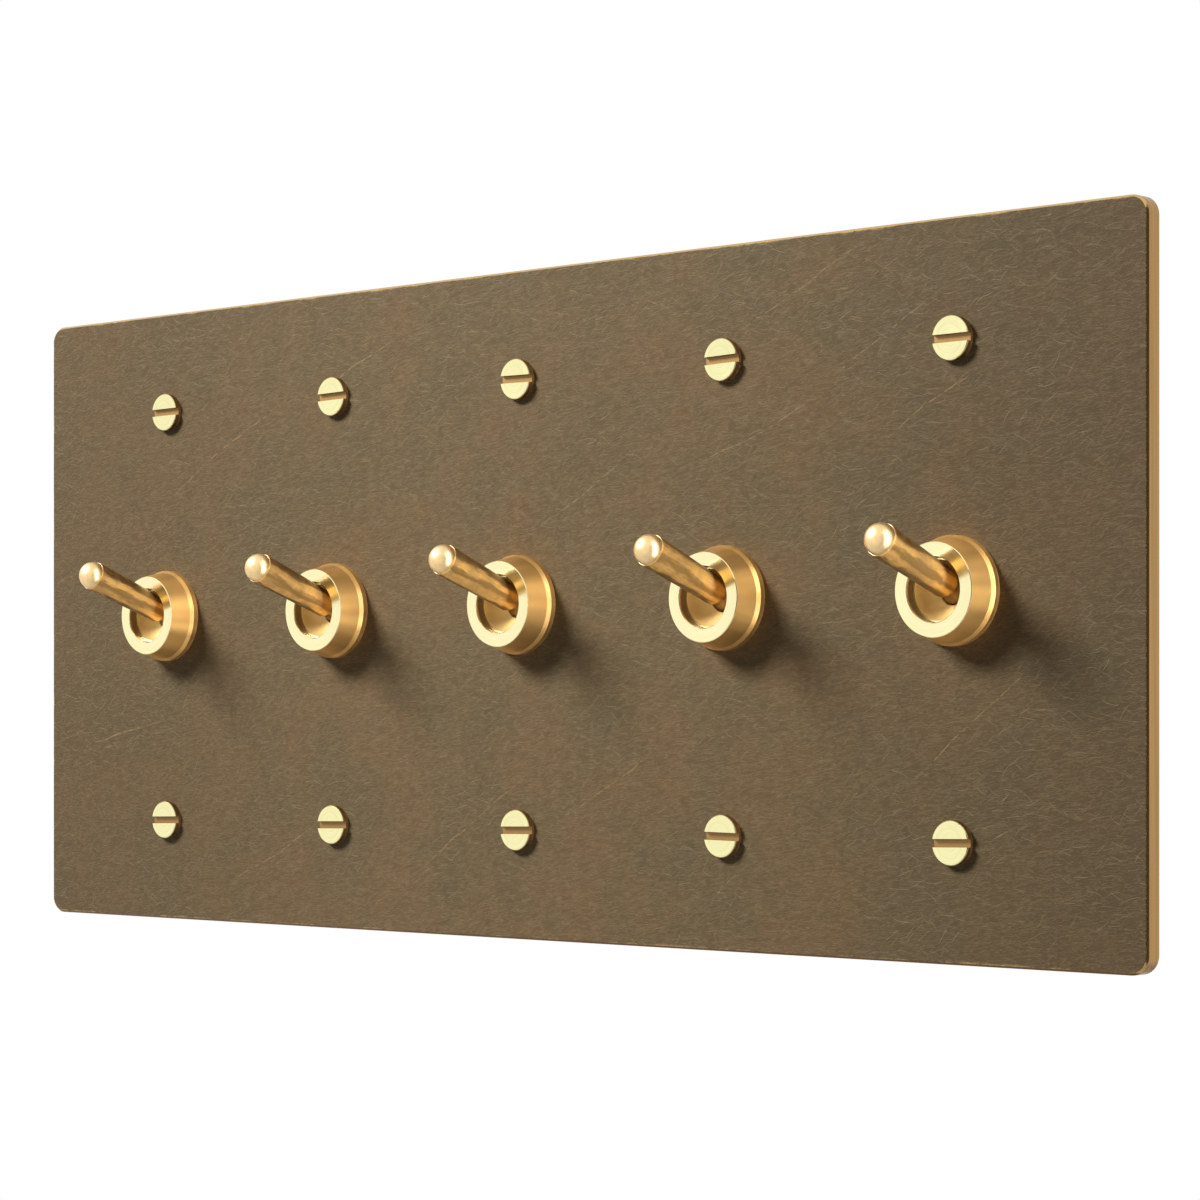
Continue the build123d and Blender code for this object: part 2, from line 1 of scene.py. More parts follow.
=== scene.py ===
"""Dresses a toggle light switch: five turned brass levers in conical collars on one antiqued brass plate.

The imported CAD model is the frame. The collars, the screws and the springs are made again here with finer
curves, threads and slots, the other pieces keep their CAD shape, and every surface gets a procedural finish.
"""

import logging
import math
from dataclasses import dataclass
from enum import Enum
from functools import cache, cached_property, reduce
from typing import Mapping, Sequence, Union

import bpy
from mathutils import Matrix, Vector


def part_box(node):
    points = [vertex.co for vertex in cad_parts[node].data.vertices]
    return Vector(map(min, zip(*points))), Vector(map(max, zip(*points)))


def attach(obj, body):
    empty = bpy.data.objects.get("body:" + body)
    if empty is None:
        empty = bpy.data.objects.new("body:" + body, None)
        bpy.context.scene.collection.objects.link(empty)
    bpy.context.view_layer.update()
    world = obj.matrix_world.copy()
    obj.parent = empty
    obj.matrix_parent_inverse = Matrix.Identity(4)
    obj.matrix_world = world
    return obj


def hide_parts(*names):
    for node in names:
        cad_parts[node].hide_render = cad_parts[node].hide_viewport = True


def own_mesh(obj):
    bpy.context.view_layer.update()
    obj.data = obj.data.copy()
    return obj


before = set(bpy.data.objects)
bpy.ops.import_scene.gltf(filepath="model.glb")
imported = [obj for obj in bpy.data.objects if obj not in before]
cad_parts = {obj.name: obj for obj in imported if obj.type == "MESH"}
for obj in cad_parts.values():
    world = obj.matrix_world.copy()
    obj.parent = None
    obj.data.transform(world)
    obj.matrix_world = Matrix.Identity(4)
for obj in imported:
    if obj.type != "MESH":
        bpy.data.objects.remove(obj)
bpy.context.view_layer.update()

LOG = logging.getLogger("switch")
MM = 0.001
PER_METRE = 1000.0
IMAGE_SIZE = 1200
GANGS = 5
GANG_PITCH = 46.04
PLATE_FRONT = -3.0
SCREW_SPACING = 77.0
SCREW_HEAD = 1.2
COLLAR_HEIGHT = 5.45
PIVOT_Y = -2.5
LEVER_TILT = math.radians(20.75)

Colour = tuple[float, float, float]
Point = tuple[float, float, float]


class Slot(Enum):
    """The record's material slots; the screws carry one, but nothing reads it."""

    POLISHED = "polished_brass"
    TERMINAL = "terminal_brass"
    STEEL = "plated_steel"


class Facing(Enum):
    """Which way a turned piece looks, as the turn about X that takes it there from facing up."""

    ROOM = math.pi / 2
    WALL = -math.pi / 2


class Value:
    """A node's output, with which plain sums can be written."""

    def __init__(self, sheet: "NodeSheet", socket: bpy.types.NodeSocket) -> None:
        """Keeps the output and the sheet that it is on."""
        self.sheet = sheet
        self.socket = socket

    def __add__(self, other: "Feed") -> "Value":
        """This and another."""
        return self.sheet.maths("ADD", self, other)

    def __sub__(self, other: "Feed") -> "Value":
        """This less another."""
        return self.sheet.maths("SUBTRACT", self, other)

    def __rsub__(self, other: "Feed") -> "Value":
        """Another less this."""
        return self.sheet.maths("SUBTRACT", other, self)

    def __mul__(self, other: "Feed") -> "Value":
        """This times another."""
        return self.sheet.maths("MULTIPLY", self, other)

    def __truediv__(self, other: "Feed") -> "Value":
        """This over another."""
        return self.sheet.maths("DIVIDE", self, other)

    def __rtruediv__(self, other: "Feed") -> "Value":
        """Another over this."""
        return self.sheet.maths("DIVIDE", other, self)

    def __pow__(self, power: float) -> "Value":
        """This to a power."""
        return self.sheet.maths("POWER", self, power)

    def __neg__(self) -> "Value":
        """This with the other sign."""
        return self * -1.0

    def __abs__(self) -> "Value":
        """This without its sign."""
        return self.sheet.maths("ABSOLUTE", self)


Feed = Union[Value, float, int, str, bool, Sequence[float]]
Given = Mapping[str, Value]


class NodeSheet:
    """Adds nodes to one tree and wires them."""

    def __init__(self, tree: bpy.types.NodeTree) -> None:
        """Keeps the tree that is drawn on."""
        self.tree = tree

    def node(self, kind: str, feeds: dict | None = None, **settings: object) -> bpy.types.Node:
        """Adds one node.

        Args:
            kind: Blender's name of the node type.
            feeds: What goes into each input, by its name or place.
            settings: The node's own options.

        Returns:
            The new node.
        """
        node = self.tree.nodes.new(kind)
        for option, value in settings.items():
            setattr(node, option, value)
        for key, value in (feeds or {}).items():
            self.feed(node.inputs[key], value)
        return node

    def feed(self, socket: bpy.types.NodeSocket, value: Feed) -> None:
        """Links an output to an input, or sets the input to a plain value.

        Args:
            socket: The input.
            value: An output to link or a value to set.
        """
        if isinstance(value, Value):
            self.tree.links.new(value.socket, socket)
        elif socket.type == "RGBA":
            socket.default_value = (*value, 1.0)
        else:
            socket.default_value = value

    def add(self, kind: str, feeds: dict | None = None, output: int | str = 0, **settings: object) -> Value:
        """Adds one node and gives one of its outputs."""
        return Value(self, self.node(kind, feeds, **settings).outputs[output])

    def outputs(self, kind: str, feeds: dict | None = None, **settings: object) -> dict[str, Value]:
        """Adds one node and gives its outputs by name."""
        return {socket.name: Value(self, socket) for socket in self.node(kind, feeds, **settings).outputs}

    def maths(self, operation: str, *values: Feed, clamp: bool = False) -> Value:
        """A sum of plain numbers, kept between 0 and 1 where it is clamped."""
        return self.add("ShaderNodeMath", dict(enumerate(values)), operation=operation, use_clamp=clamp)

    def highest(self, *values: Feed) -> Value:
        """The highest of some numbers."""
        return reduce(lambda a, b: self.maths("MAXIMUM", a, b), values)

    def vector(self, operation: str, *values: Feed) -> Value:
        """A sum of vectors."""
        return self.add("ShaderNodeVectorMath", dict(enumerate(values)), operation=operation)

    def split(self, place: Feed) -> tuple[Value, ...]:
        """The x, y and z of a vector."""
        return tuple(self.outputs("ShaderNodeSeparateXYZ", {0: place}).values())

    def join(self, x: Feed, y: Feed, z: Feed) -> Value:
        """The vector of three numbers."""
        return self.add("ShaderNodeCombineXYZ", {0: x, 1: y, 2: z})

    def circle(self, turn: Feed) -> tuple[Value, Value]:
        """The cosine and sine of a turn."""
        return self.maths("COSINE", turn), self.maths("SINE", turn)

    def ramp(self, value: Feed, start: Feed, end: Feed, low: Feed = 0.0, high: Feed = 1.0) -> Value:
        """A soft step from low to high as the value goes from start to end, which may run either way."""
        feeds = {"Value": value, "From Min": start, "From Max": end, "To Min": low, "To Max": high}
        return self.add("ShaderNodeMapRange", feeds, interpolation_type="SMOOTHSTEP")

    def blend(self, share: Feed, a: Feed, b: Feed) -> Value:
        """The number between a and b at a share."""
        return self.add("ShaderNodeMix", {0: share, 2: a, 3: b}, data_type="FLOAT")

    def tint(self, share: Feed, a: Feed, b: Feed) -> Value:
        """The colour between a and b at a share."""
        return self.add("ShaderNodeMix", {0: share, 6: a, 7: b}, 2, data_type="RGBA")

    def layers(self, colour: Feed, *coats: tuple[Feed, Feed]) -> Value:
        """Lays colours over a first one, each by its share."""
        return reduce(lambda under, coat: self.tint(coat[0], under, coat[1]), coats, colour)

    def noise(self, place: Feed, scale: Feed, detail: float = 2.0, harsh: float = 0.5) -> Value:
        """Cloudy noise about a half, of some finer layers and their strength."""
        feeds = {"Vector": place, "Scale": scale, "Detail": detail, "Roughness": harsh}
        return self.add("ShaderNodeTexNoise", feeds, "Fac")


class Effect(Enum):
    """Surface effects that several finishes share, each one shader node group."""

    GANG_PLACE = "gang_place"
    TURNING_MARKS = "turning_marks"
    HAIR_MARKS = "hair_marks"
    WRINKLES = "wrinkles"
    MOTTLE = "mottle"
    RUBBED_EDGE = "rubbed_edge"
    LONG_LINES = "long_lines"
    MOULDED_GRAIN = "moulded_grain"


class EffectShelf:
    """Draws each shared effect once, as a node group that reads a place in millimetres."""

    ORIGIN = (0.0, 0.0, 0.0)
    # What each effect takes besides its place, with the usual values.
    INPUTS = {
        Effect.GANG_PLACE: {"Row": 0.0},
        Effect.TURNING_MARKS: {"Radius": 1.0, "Fineness": 6.0},
        Effect.HAIR_MARKS: {"Cell": 3.0, "Width": 0.1, "Lean": 0.3, "Spread": 0.6, "Bend": 0.9, "Layer": 0.0},
        Effect.WRINKLES: {"Lean": 0.1, "Length": 3.2, "Gap": 0.55, "Layer": 0.0},
        Effect.MOTTLE: {"Patch": 25.0},
        Effect.RUBBED_EDGE: {"Half Width": 1.0, "Half Height": 1.0, "Corner": 1.0, "Reach": 2.0, "Patch": 5.0},
        Effect.LONG_LINES: {"Fineness": ORIGIN},
        Effect.MOULDED_GRAIN: {"Grain": 0.3},
    }

    @cache
    def group(self, effect: Effect) -> bpy.types.NodeTree:
        """Draws an effect's group when it is first asked for.

        Args:
            effect: Which effect.

        Returns:
            The group.
        """
        tree = bpy.data.node_groups.new(effect.value, "ShaderNodeTree")
        for name, usual in {"Place": self.ORIGIN, **self.INPUTS[effect]}.items():
            kind = "NodeSocketFloat" if isinstance(usual, float) else "NodeSocketVector"
            tree.interface.new_socket(name, in_out="INPUT", socket_type=kind).default_value = usual
        sheet = NodeSheet(tree)
        results = getattr(self, "_" + effect.value)(sheet, sheet.outputs("NodeGroupInput"))
        for name, value in results.items():
            kind = "NodeSocketVector" if value.socket.type == "VECTOR" else "NodeSocketFloat"
            tree.interface.new_socket(name, in_out="OUTPUT", socket_type=kind)
        sheet.node("NodeGroupOutput", results)
        return tree

    @staticmethod
    def _gang_place(sheet: NodeSheet, given: Given) -> dict[str, Value]:
        """Where a point lies about the axis of its own gang's fitting, in millimetres."""
        x, y, z = sheet.split(given["Place"])
        x = sheet.maths("WRAP", x, GANG_PITCH / 2, -GANG_PITCH / 2)
        z = z - sheet.maths("SIGN", z) * given["Row"]
        radius = sheet.maths("SQRT", x ** 2.0 + z ** 2.0)
        return {"Local": sheet.join(x, y, z), "Radius": radius, "Turn": sheet.maths("ARCTAN2", z, x)}

    @staticmethod
    def _turning_marks(sheet: NodeSheet, given: Given) -> dict[str, Value]:
        """Fine rings that a lathe leaves, broken up a little round the piece."""
        x, y, z = sheet.split(given["Place"])
        place = sheet.join((given["Radius"] + y) * given["Fineness"], x * 0.25, z * 0.25)
        rings = sheet.noise(place, 1.0, 3.0, 0.6)
        return {"Height": rings, "Tone": rings * 0.6 + sheet.noise(place, 0.18, 1.0) * 0.4}

    @staticmethod
    def _hair_marks(sheet: NodeSheet, given: Given) -> dict[str, Value]:
        """Short curved hair-like strokes, one in each cell of a scattered pattern, leaning about one direction."""
        x, _, z = sheet.split(given["Place"])
        flat = sheet.join(x + given["Layer"], z - given["Layer"], 0.0)
        flat = sheet.vector("DIVIDE", flat, sheet.join(given["Cell"], given["Cell"], 1.0))
        cells = sheet.outputs("ShaderNodeTexVoronoi", {"Vector": flat, "Scale": 1.0}, voronoi_dimensions="2D")
        chance = sheet.outputs("ShaderNodeSeparateColor", {0: cells["Color"]})
        dx, dz, _ = sheet.split(sheet.vector("SUBTRACT", flat, cells["Position"]))
        cosine, sine = sheet.circle(given["Lean"] + (chance["Red"] - 0.5) * (given["Spread"] * 2.0))
        along = dx * cosine + dz * sine
        across = dz * cosine - dx * sine
        bowed = across + (chance["Green"] - 0.5) * given["Bend"] * along ** 2.0
        line = sheet.ramp(abs(bowed) * given["Cell"], given["Width"], given["Width"] * 0.25)
        line = line * sheet.ramp(abs(along), 0.62, 0.3)
        return {"Mask": line * sheet.ramp(chance["Blue"], 0.05, 0.95, 0.2, 1.0)}

    @staticmethod
    def _wrinkles(sheet: NodeSheet, given: Given) -> dict[str, Value]:
        """A fine wrinkled relief, drawn out along one direction, and its thin crests."""
        x, _, z = sheet.split(given["Place"])
        cosine, sine = sheet.circle(given["Lean"])
        along = (x * cosine + z * sine) / given["Length"]
        folds = sheet.noise(sheet.join(along, given["Layer"], (z * cosine - x * sine) / given["Gap"]), 1.0, 4.0, 0.6)
        crest = sheet.ramp(abs(folds - 0.5), 0.04, 0.0)
        return {"Height": sheet.blend(0.35, folds, crest), "Crest": crest}

    @staticmethod
    def _mottle(sheet: NodeSheet, given: Given) -> dict[str, Value]:
        """Soft patches where a finish took unevenly, and a finer cloud over them."""
        scale = 1.0 / given["Patch"]
        broad = sheet.noise(given["Place"], scale, 3.0, 0.55)
        fine = sheet.noise(given["Place"], scale * 14.0, 3.0, 0.6)
        return {"Broad": sheet.ramp(broad, 0.36, 0.64), "Fine": sheet.ramp(fine, 0.3, 0.7)}

    @staticmethod
    def _rubbed_edge(sheet: NodeSheet, given: Given) -> dict[str, Value]:
        """Wear along the outline of a plate with rounded corners."""
        x, _, z = sheet.split(given["Place"])
        over = [abs(value) - (given[half] - given["Corner"]) for value, half in ((x, "Half Width"), (z, "Half Height"))]
        outer = [sheet.highest(value, 0.0) ** 2.0 for value in over]
        corner = sheet.maths("SQRT", outer[0] + outer[1])
        inside = given["Corner"] - (corner + sheet.maths("MINIMUM", sheet.highest(*over), 0.0))
        cloud = sheet.noise(given["Place"], 1.0 / given["Patch"], 4.0, 0.65)
        reach = given["Reach"] * sheet.ramp(cloud, 0.35, 0.68, 0.3, 1.0)
        return {"Rub": sheet.ramp(inside, reach, reach * 0.15)}

    @staticmethod
    def _long_lines(sheet: NodeSheet, given: Given) -> dict[str, Value]:
        """Lines that brushing, rolling or handling draws along a surface."""
        lines = sheet.noise(sheet.vector("MULTIPLY", given["Place"], given["Fineness"]), 1.0, 3.0, 0.65)
        return {"Tone": sheet.ramp(lines, 0.32, 0.68), "Height": lines}

    @staticmethod
    def _moulded_grain(sheet: NodeSheet, given: Given) -> dict[str, Value]:
        """The fine skin and the flow marks of a moulding."""
        scale = 1.0 / given["Grain"]
        flow = sheet.noise(given["Place"], scale * 0.09, 3.0, 0.6)
        return {"Height": sheet.noise(given["Place"], scale), "Flow": sheet.ramp(flow, 0.35, 0.66)}


EFFECTS = EffectShelf()


class Coat:
    """A new material that a finish paints."""

    def __init__(self, name: str) -> None:
        """Opens the material."""
        self.material = bpy.data.materials.new(name)
        self.material.use_nodes = True
        self.sheet = NodeSheet(self.material.node_tree)
        self.shader = self.material.node_tree.nodes["Principled BSDF"]

    @cached_property
    def place(self) -> Value:
        """The place on the object, in millimetres."""
        own = self.sheet.add("ShaderNodeTexCoord", output="Object")
        return self.sheet.add("ShaderNodeVectorMath", {0: own, "Scale": PER_METRE}, operation="SCALE")

    def effect(self, effect: Effect, place: Value | None = None, **feeds: Feed) -> dict[str, Value]:
        """Sets a shared effect in the material.

        Args:
            effect: Which effect.
            place: Where it is read, if not at the place on the object.
            feeds: Its other inputs, named as the group's sockets in lower case with underscores.

        Returns:
            The effect's outputs by name.
        """
        named = {name.replace("_", " ").title(): value for name, value in feeds.items()}
        named["Place"] = place or self.place
        return self.sheet.outputs("ShaderNodeGroup", named, node_tree=EFFECTS.group(effect))

    def turned(self, middle: Point, axis: str, angle: float) -> Value:
        """The place turned about a middle and an axis."""
        feeds = {"Vector": self.place, "Center": middle, "Angle": angle}
        return self.sheet.add("ShaderNodeVectorRotate", feeds, rotation_type=axis)

    def feed(self, feeds: Mapping[str, Feed]) -> None:
        """Feeds the shader's inputs by name."""
        for name, value in feeds.items():
            self.sheet.feed(self.shader.inputs[name], value)

    def bump(self, height: Feed, strength: float, depth: float) -> None:
        """Gives the surface a relief of a depth in millimetres."""
        relief = {"Height": height, "Strength": strength, "Distance": depth * MM}
        self.feed({"Normal": self.sheet.add("ShaderNodeBump", relief)})


@dataclass(frozen=True)
class Finish:
    """What every finish has: a name and a recipe that paints a coat."""

    name: str

    def material(self) -> bpy.types.Material:
        """Makes the material.

        Returns:
            The finished material.
        """
        coat = Coat(self.name)
        self.paint(coat)
        return coat.material

    def paint(self, coat: Coat) -> None:
        """Feeds the coat's shader."""
        raise NotImplementedError


@dataclass(frozen=True)
class Scratch:
    """One long scratch on the plate: its middle, its slope in degrees and its length, in millimetres."""

    x: float
    z: float
    slope: float
    length: float


@dataclass(frozen=True)
class Strokes:
    """One layer of hair-like strokes: cell, width and the layer's shift in millimetres, the angles in radians."""

    cell: float
    width: float
    lean: float
    spread: float
    layer: float


@dataclass(frozen=True)
class Folds:
    """One layer of wrinkles: lean in radians, length and gap in millimetres, and its place in the noise."""

    lean: float
    length: float
    gap: float
    layer: float


@dataclass(frozen=True)
class AntiquePatina(Finish):
    """Chemically darkened brass sheet with hair-like strokes, bright edges and a brushed rim, with painted shade
    towards both ends of the front and on the right and bottom bevels.
    """

    half_width: float = 127.0
    half_height: float = 57.15
    corner: float = 3.0
    bevel: float = 0.35
    rub_reach: float = 0.8
    cloud_patch: float = 24.0
    spot_patch: float = 6.0
    # The front is painted darker towards each end of the plate, a painted shade: where each fade starts and how dark it
    # gets.
    left_fade: float = -10.0
    left_dark: float = 0.55
    right_fade: float = 40.0
    right_dark: float = 0.5
    fold_dark: float = 0.28
    fleck_share: float = 0.25
    crest_share: float = 0.2
    stroke_share: float = 0.44
    scratch_share: float = 0.55
    scratch_half: float = 0.15
    scratch_core: float = 0.03
    scratch_waver: float = 3.0
    rough: float = 0.46
    bevel_rough: float = 0.18
    back_rough: float = 0.5
    shine: float = 0.07
    relief: float = 0.12
    copper: Colour = (0.205, 0.131, 0.063)
    olive: Colour = (0.161, 0.122, 0.063)
    stroke: Colour = (0.38, 0.29, 0.16)
    # Dark tone of the patina's flecks and valleys, and also of the painted shade at the plate's ends.
    fleck: Colour = (0.096, 0.065, 0.034)
    scratch: Colour = (0.44, 0.27, 0.125)
    gold: Colour = (0.62, 0.40, 0.15)
    bevel_tone: Colour = (0.62, 0.41, 0.16)
    # Painted shade tone of the right and bottom bevels.
    bevel_dark: Colour = (0.16, 0.08, 0.025)
    rim_dark: Colour = (0.31, 0.172, 0.055)
    rim_light: Colour = (0.45, 0.265, 0.095)
    back_tone: Colour = (0.40, 0.27, 0.105)
    rim_lines: Point = (0.02, 4.5, 0.02)
    hairs: tuple[Strokes, ...] = (Strokes(3.0, 0.085, 0.28, 0.8, 0.0), Strokes(2.2, 0.07, 0.05, 0.8, 37.3))
    folds: tuple[Folds, Folds] = (Folds(0.03, 4.0, 0.6, 3.1), Folds(0.22, 3.4, 0.65, 17.9))
    scratches: tuple[Scratch, ...] = (
        Scratch(-78.0, 30.0, 27.0, 46.0), Scratch(-12.0, -38.0, 33.0, 34.0),
        Scratch(52.0, 26.0, 22.0, 30.0), Scratch(98.0, -18.0, 38.0, 40.0), Scratch(-104.0, -22.0, 15.0, 24.0),
        Scratch(62.0, 49.0, 25.0, 34.0), Scratch(78.0, 40.0, 27.0, 26.0), Scratch(88.0, 29.0, 29.0, 20.0),
        Scratch(-40.0, 44.0, 24.0, 28.0), Scratch(14.0, 18.0, 28.0, 26.0), Scratch(-62.0, -44.0, 26.0, 30.0),
        Scratch(20.0, -31.0, 31.0, 28.0))

    def strokes(self, coat: Coat) -> Value:
        """Where a hair-like stroke lies, from 0 to 1."""
        masks = [coat.effect(Effect.HAIR_MARKS, **vars(layer))["Mask"] for layer in self.hairs]
        return coat.sheet.highest(*masks)

    def scratch_mask(self, coat: Coat) -> Value:
        """Draws the few long scratches.

        Args:
            coat: The coat to paint.

        Returns:
            Where a scratch lies, from 0 to 1.
        """
        sheet = coat.sheet
        waver = (sheet.noise(coat.place, 0.06) - 0.5) * self.scratch_waver
        lines = []
        for scratch in self.scratches:
            x, _, z = sheet.split(coat.turned((scratch.x, 0.0, scratch.z), "Y_AXIS", math.radians(scratch.slope)))
            line = sheet.ramp(abs(z - scratch.z + waver), self.scratch_half, self.scratch_core)
            lines.append(line * sheet.ramp(abs(x - scratch.x), scratch.length / 2, scratch.length / 4))
        return sheet.highest(*lines) * sheet.ramp(sheet.noise(coat.place, 0.9), 0.36, 0.6)

    def paint(self, coat: Coat) -> None:
        """Paints the front, the bevel, the rim and the back.

        Args:
            coat: The coat to paint.
        """
        sheet = coat.sheet
        x, y, z = sheet.split(coat.place)
        below = PLATE_FRONT + self.bevel
        front = sheet.ramp(y, PLATE_FRONT + 0.04, PLATE_FRONT + 0.01)
        below_bevel = sheet.ramp(y, below - 0.01, below + 0.02)
        back = sheet.ramp(y, -0.03, -0.01)
        edge = coat.effect(Effect.RUBBED_EDGE, half_width=self.half_width, half_height=self.half_height,
                           corner=self.corner, reach=self.rub_reach, patch=self.spot_patch)
        cloud = coat.effect(Effect.MOTTLE, patch=self.cloud_patch)
        spots = coat.effect(Effect.MOTTLE, patch=self.spot_patch)
        strokes = self.strokes(coat) * sheet.blend(cloud["Broad"], 0.45, 1.0)
        level, rising = (coat.effect(Effect.WRINKLES, **vars(layer)) for layer in self.folds)
        folds, crests = (sheet.blend(cloud["Fine"], level[name], rising[name]) for name in ("Height", "Crest"))
        rim = coat.effect(Effect.LONG_LINES, fineness=self.rim_lines)

        # Painted shade: the front darkens towards the left and right ends, as if less light reached them.
        end_shade = sheet.highest(sheet.ramp(x, self.left_fade, -self.half_width, 0.0, self.left_dark),
                             sheet.ramp(x, self.right_fade, self.half_width, 0.0, self.right_dark))
        rub = edge["Rub"] * sheet.ramp(x, self.half_width - 1.0, self.half_width - 4.0, 0.0, 0.7)
        patches = sheet.blend(0.25, cloud["Broad"], spots["Broad"])
        patina = sheet.layers(
            self.copper, (patches, self.olive), (end_shade, self.fleck), (cloud["Fine"] * self.fleck_share, self.fleck),
            (sheet.ramp(folds, 0.5, 0.3, 0.0, self.fold_dark), self.fleck), (crests * self.crest_share, self.stroke),
            (strokes * self.stroke_share, self.stroke), (self.scratch_mask(coat) * self.scratch_share, self.scratch),
            (rub, self.gold))
        # Painted shade: the right and bottom bevels are darkened, as the sides that face away from the light.
        right = sheet.ramp(x, self.half_width - 0.5, self.half_width - self.bevel, 0.0, 0.7)
        low = sheet.ramp(z, 0.5 - self.half_height, self.bevel - self.half_height)
        bevel = sheet.tint(sheet.highest(right, low), self.bevel_tone, self.bevel_dark)
        band = sheet.tint(below_bevel, bevel, sheet.tint(rim["Tone"], self.rim_dark, self.rim_light))
        worn_back = sheet.tint(cloud["Fine"] * 0.5, self.back_tone, self.rim_dark)

        metal = sheet.maths("ADD", strokes * 0.06 + rub * 0.6, 0.02, clamp=True)
        rough = cloud["Fine"] * 0.12 + self.rough - rub * 0.14
        rim_rough = sheet.blend(below_bevel, self.bevel_rough, sheet.ramp(rim["Tone"], 0.0, 1.0, 0.36, 0.26))
        coat.feed({"Base Color": sheet.layers(band, (back, worn_back), (front, patina)),
                   "Metallic": sheet.blend(front, 1.0, metal), "Specular IOR Level": self.shine,
                   "Roughness": sheet.blend(front, sheet.blend(back, rim_rough, self.back_rough), rough)})
        rim_relief = sheet.blend(below_bevel * 0.4, 0.45, rim["Height"])
        coat.bump(sheet.blend(front, rim_relief, folds + strokes * 0.3), 0.5, self.relief)


@dataclass(frozen=True)
class TurnedBrass(Finish):
    """Bright turned and lacquered brass with a pale faced-off front, partly a painted highlight, and golden sides."""

    face_y: float = 0.0
    foot_y: float = 0.0
    row: float = 0.0
    hollow: float = 0.0
    # The front's pale colour is brass lifted towards white, partly as a painted highlight of its bright reflection.
    face: Colour = (0.99, 0.93, 0.54)
    side: Colour = (0.86, 0.51, 0.165)
    # Painted shade tone of slots and of the bore's inner wall.
    slot_tone: Colour = (0.27, 0.16, 0.06)
    shank: Colour = (0.80, 0.52, 0.20)
    # Dark tone of the painted reflection bands and of the darker band at the foot.
    grime: Colour = (0.30, 0.17, 0.06)
    ring_fineness: float = 7.0
    ring_share: float = 0.16
    # How strongly the painted reflection bands darken the sides.
    cloudy: float = 0.55
    foot_grime: float = 0.55
    lacquer: float = 0.1
    lacquer_rough: float = 0.12
    face_rough: float = 0.12
    side_rough: float = 0.45
    sunk_rough: float = 0.6

    def paint(self, coat: Coat) -> None:
        """Paints the flat front pale, partly as a painted highlight, and the rest golden, with rings, painted
        reflection bands round the side, painted shade in slots and bores and a darker band at the foot.

        Args:
            coat: The coat to paint.
        """
        sheet = coat.sheet
        about = coat.effect(Effect.GANG_PLACE, row=self.row)
        marks = coat.effect(Effect.TURNING_MARKS, about["Local"], radius=about["Radius"], fineness=self.ring_fineness)
        cloud = coat.effect(Effect.MOTTLE, patch=7.0)
        x, y, _ = sheet.split(coat.place)
        front = sheet.ramp(y, self.face_y + 0.16, self.face_y + 0.02)
        # Painted reflection: dark bands, random round the axis, stand for the uneven reflections on the turned sides.
        bands = sheet.ramp(sheet.noise(sheet.join(*sheet.circle(about["Turn"]), x * 0.05), 1.3), 0.38, 0.62)
        # Painted shade: below the front and inside the hollow radius, slots and bores take a dark tone.
        sunk = sheet.ramp(y, self.face_y + 0.3, self.face_y + 0.6)
        sunk = sunk * sheet.ramp(about["Radius"], self.hollow, self.hollow - 0.05)
        # Darker and rougher in a cloudy band at the foot, where the piece meets what it stands on.
        foot_dark = sheet.ramp(y, self.foot_y - 0.45, self.foot_y) * cloud["Fine"]
        colour = sheet.layers(
            self.side, (front, self.face), (sheet.ramp(marks["Tone"], 0.3, 0.75, 0.0, self.ring_share), self.side),
            ((1.0 - front) * bands * self.cloudy, self.grime), (sunk, self.slot_tone),
            (sheet.ramp(y, self.foot_y + 0.1, self.foot_y + 0.2), self.shank), (foot_dark * self.foot_grime, self.grime))
        rough = sheet.blend(front, self.side_rough, self.face_rough) + cloud["Broad"] * 0.07
        coat.feed({"Base Color": colour, "Metallic": 1.0, "Coat Weight": self.lacquer,
                   "Coat Roughness": self.lacquer_rough,
                   "Roughness": sheet.blend(sunk, rough, self.sunk_rough) + foot_dark * 0.25})
        coat.bump(marks["Height"], 0.12, 0.02)


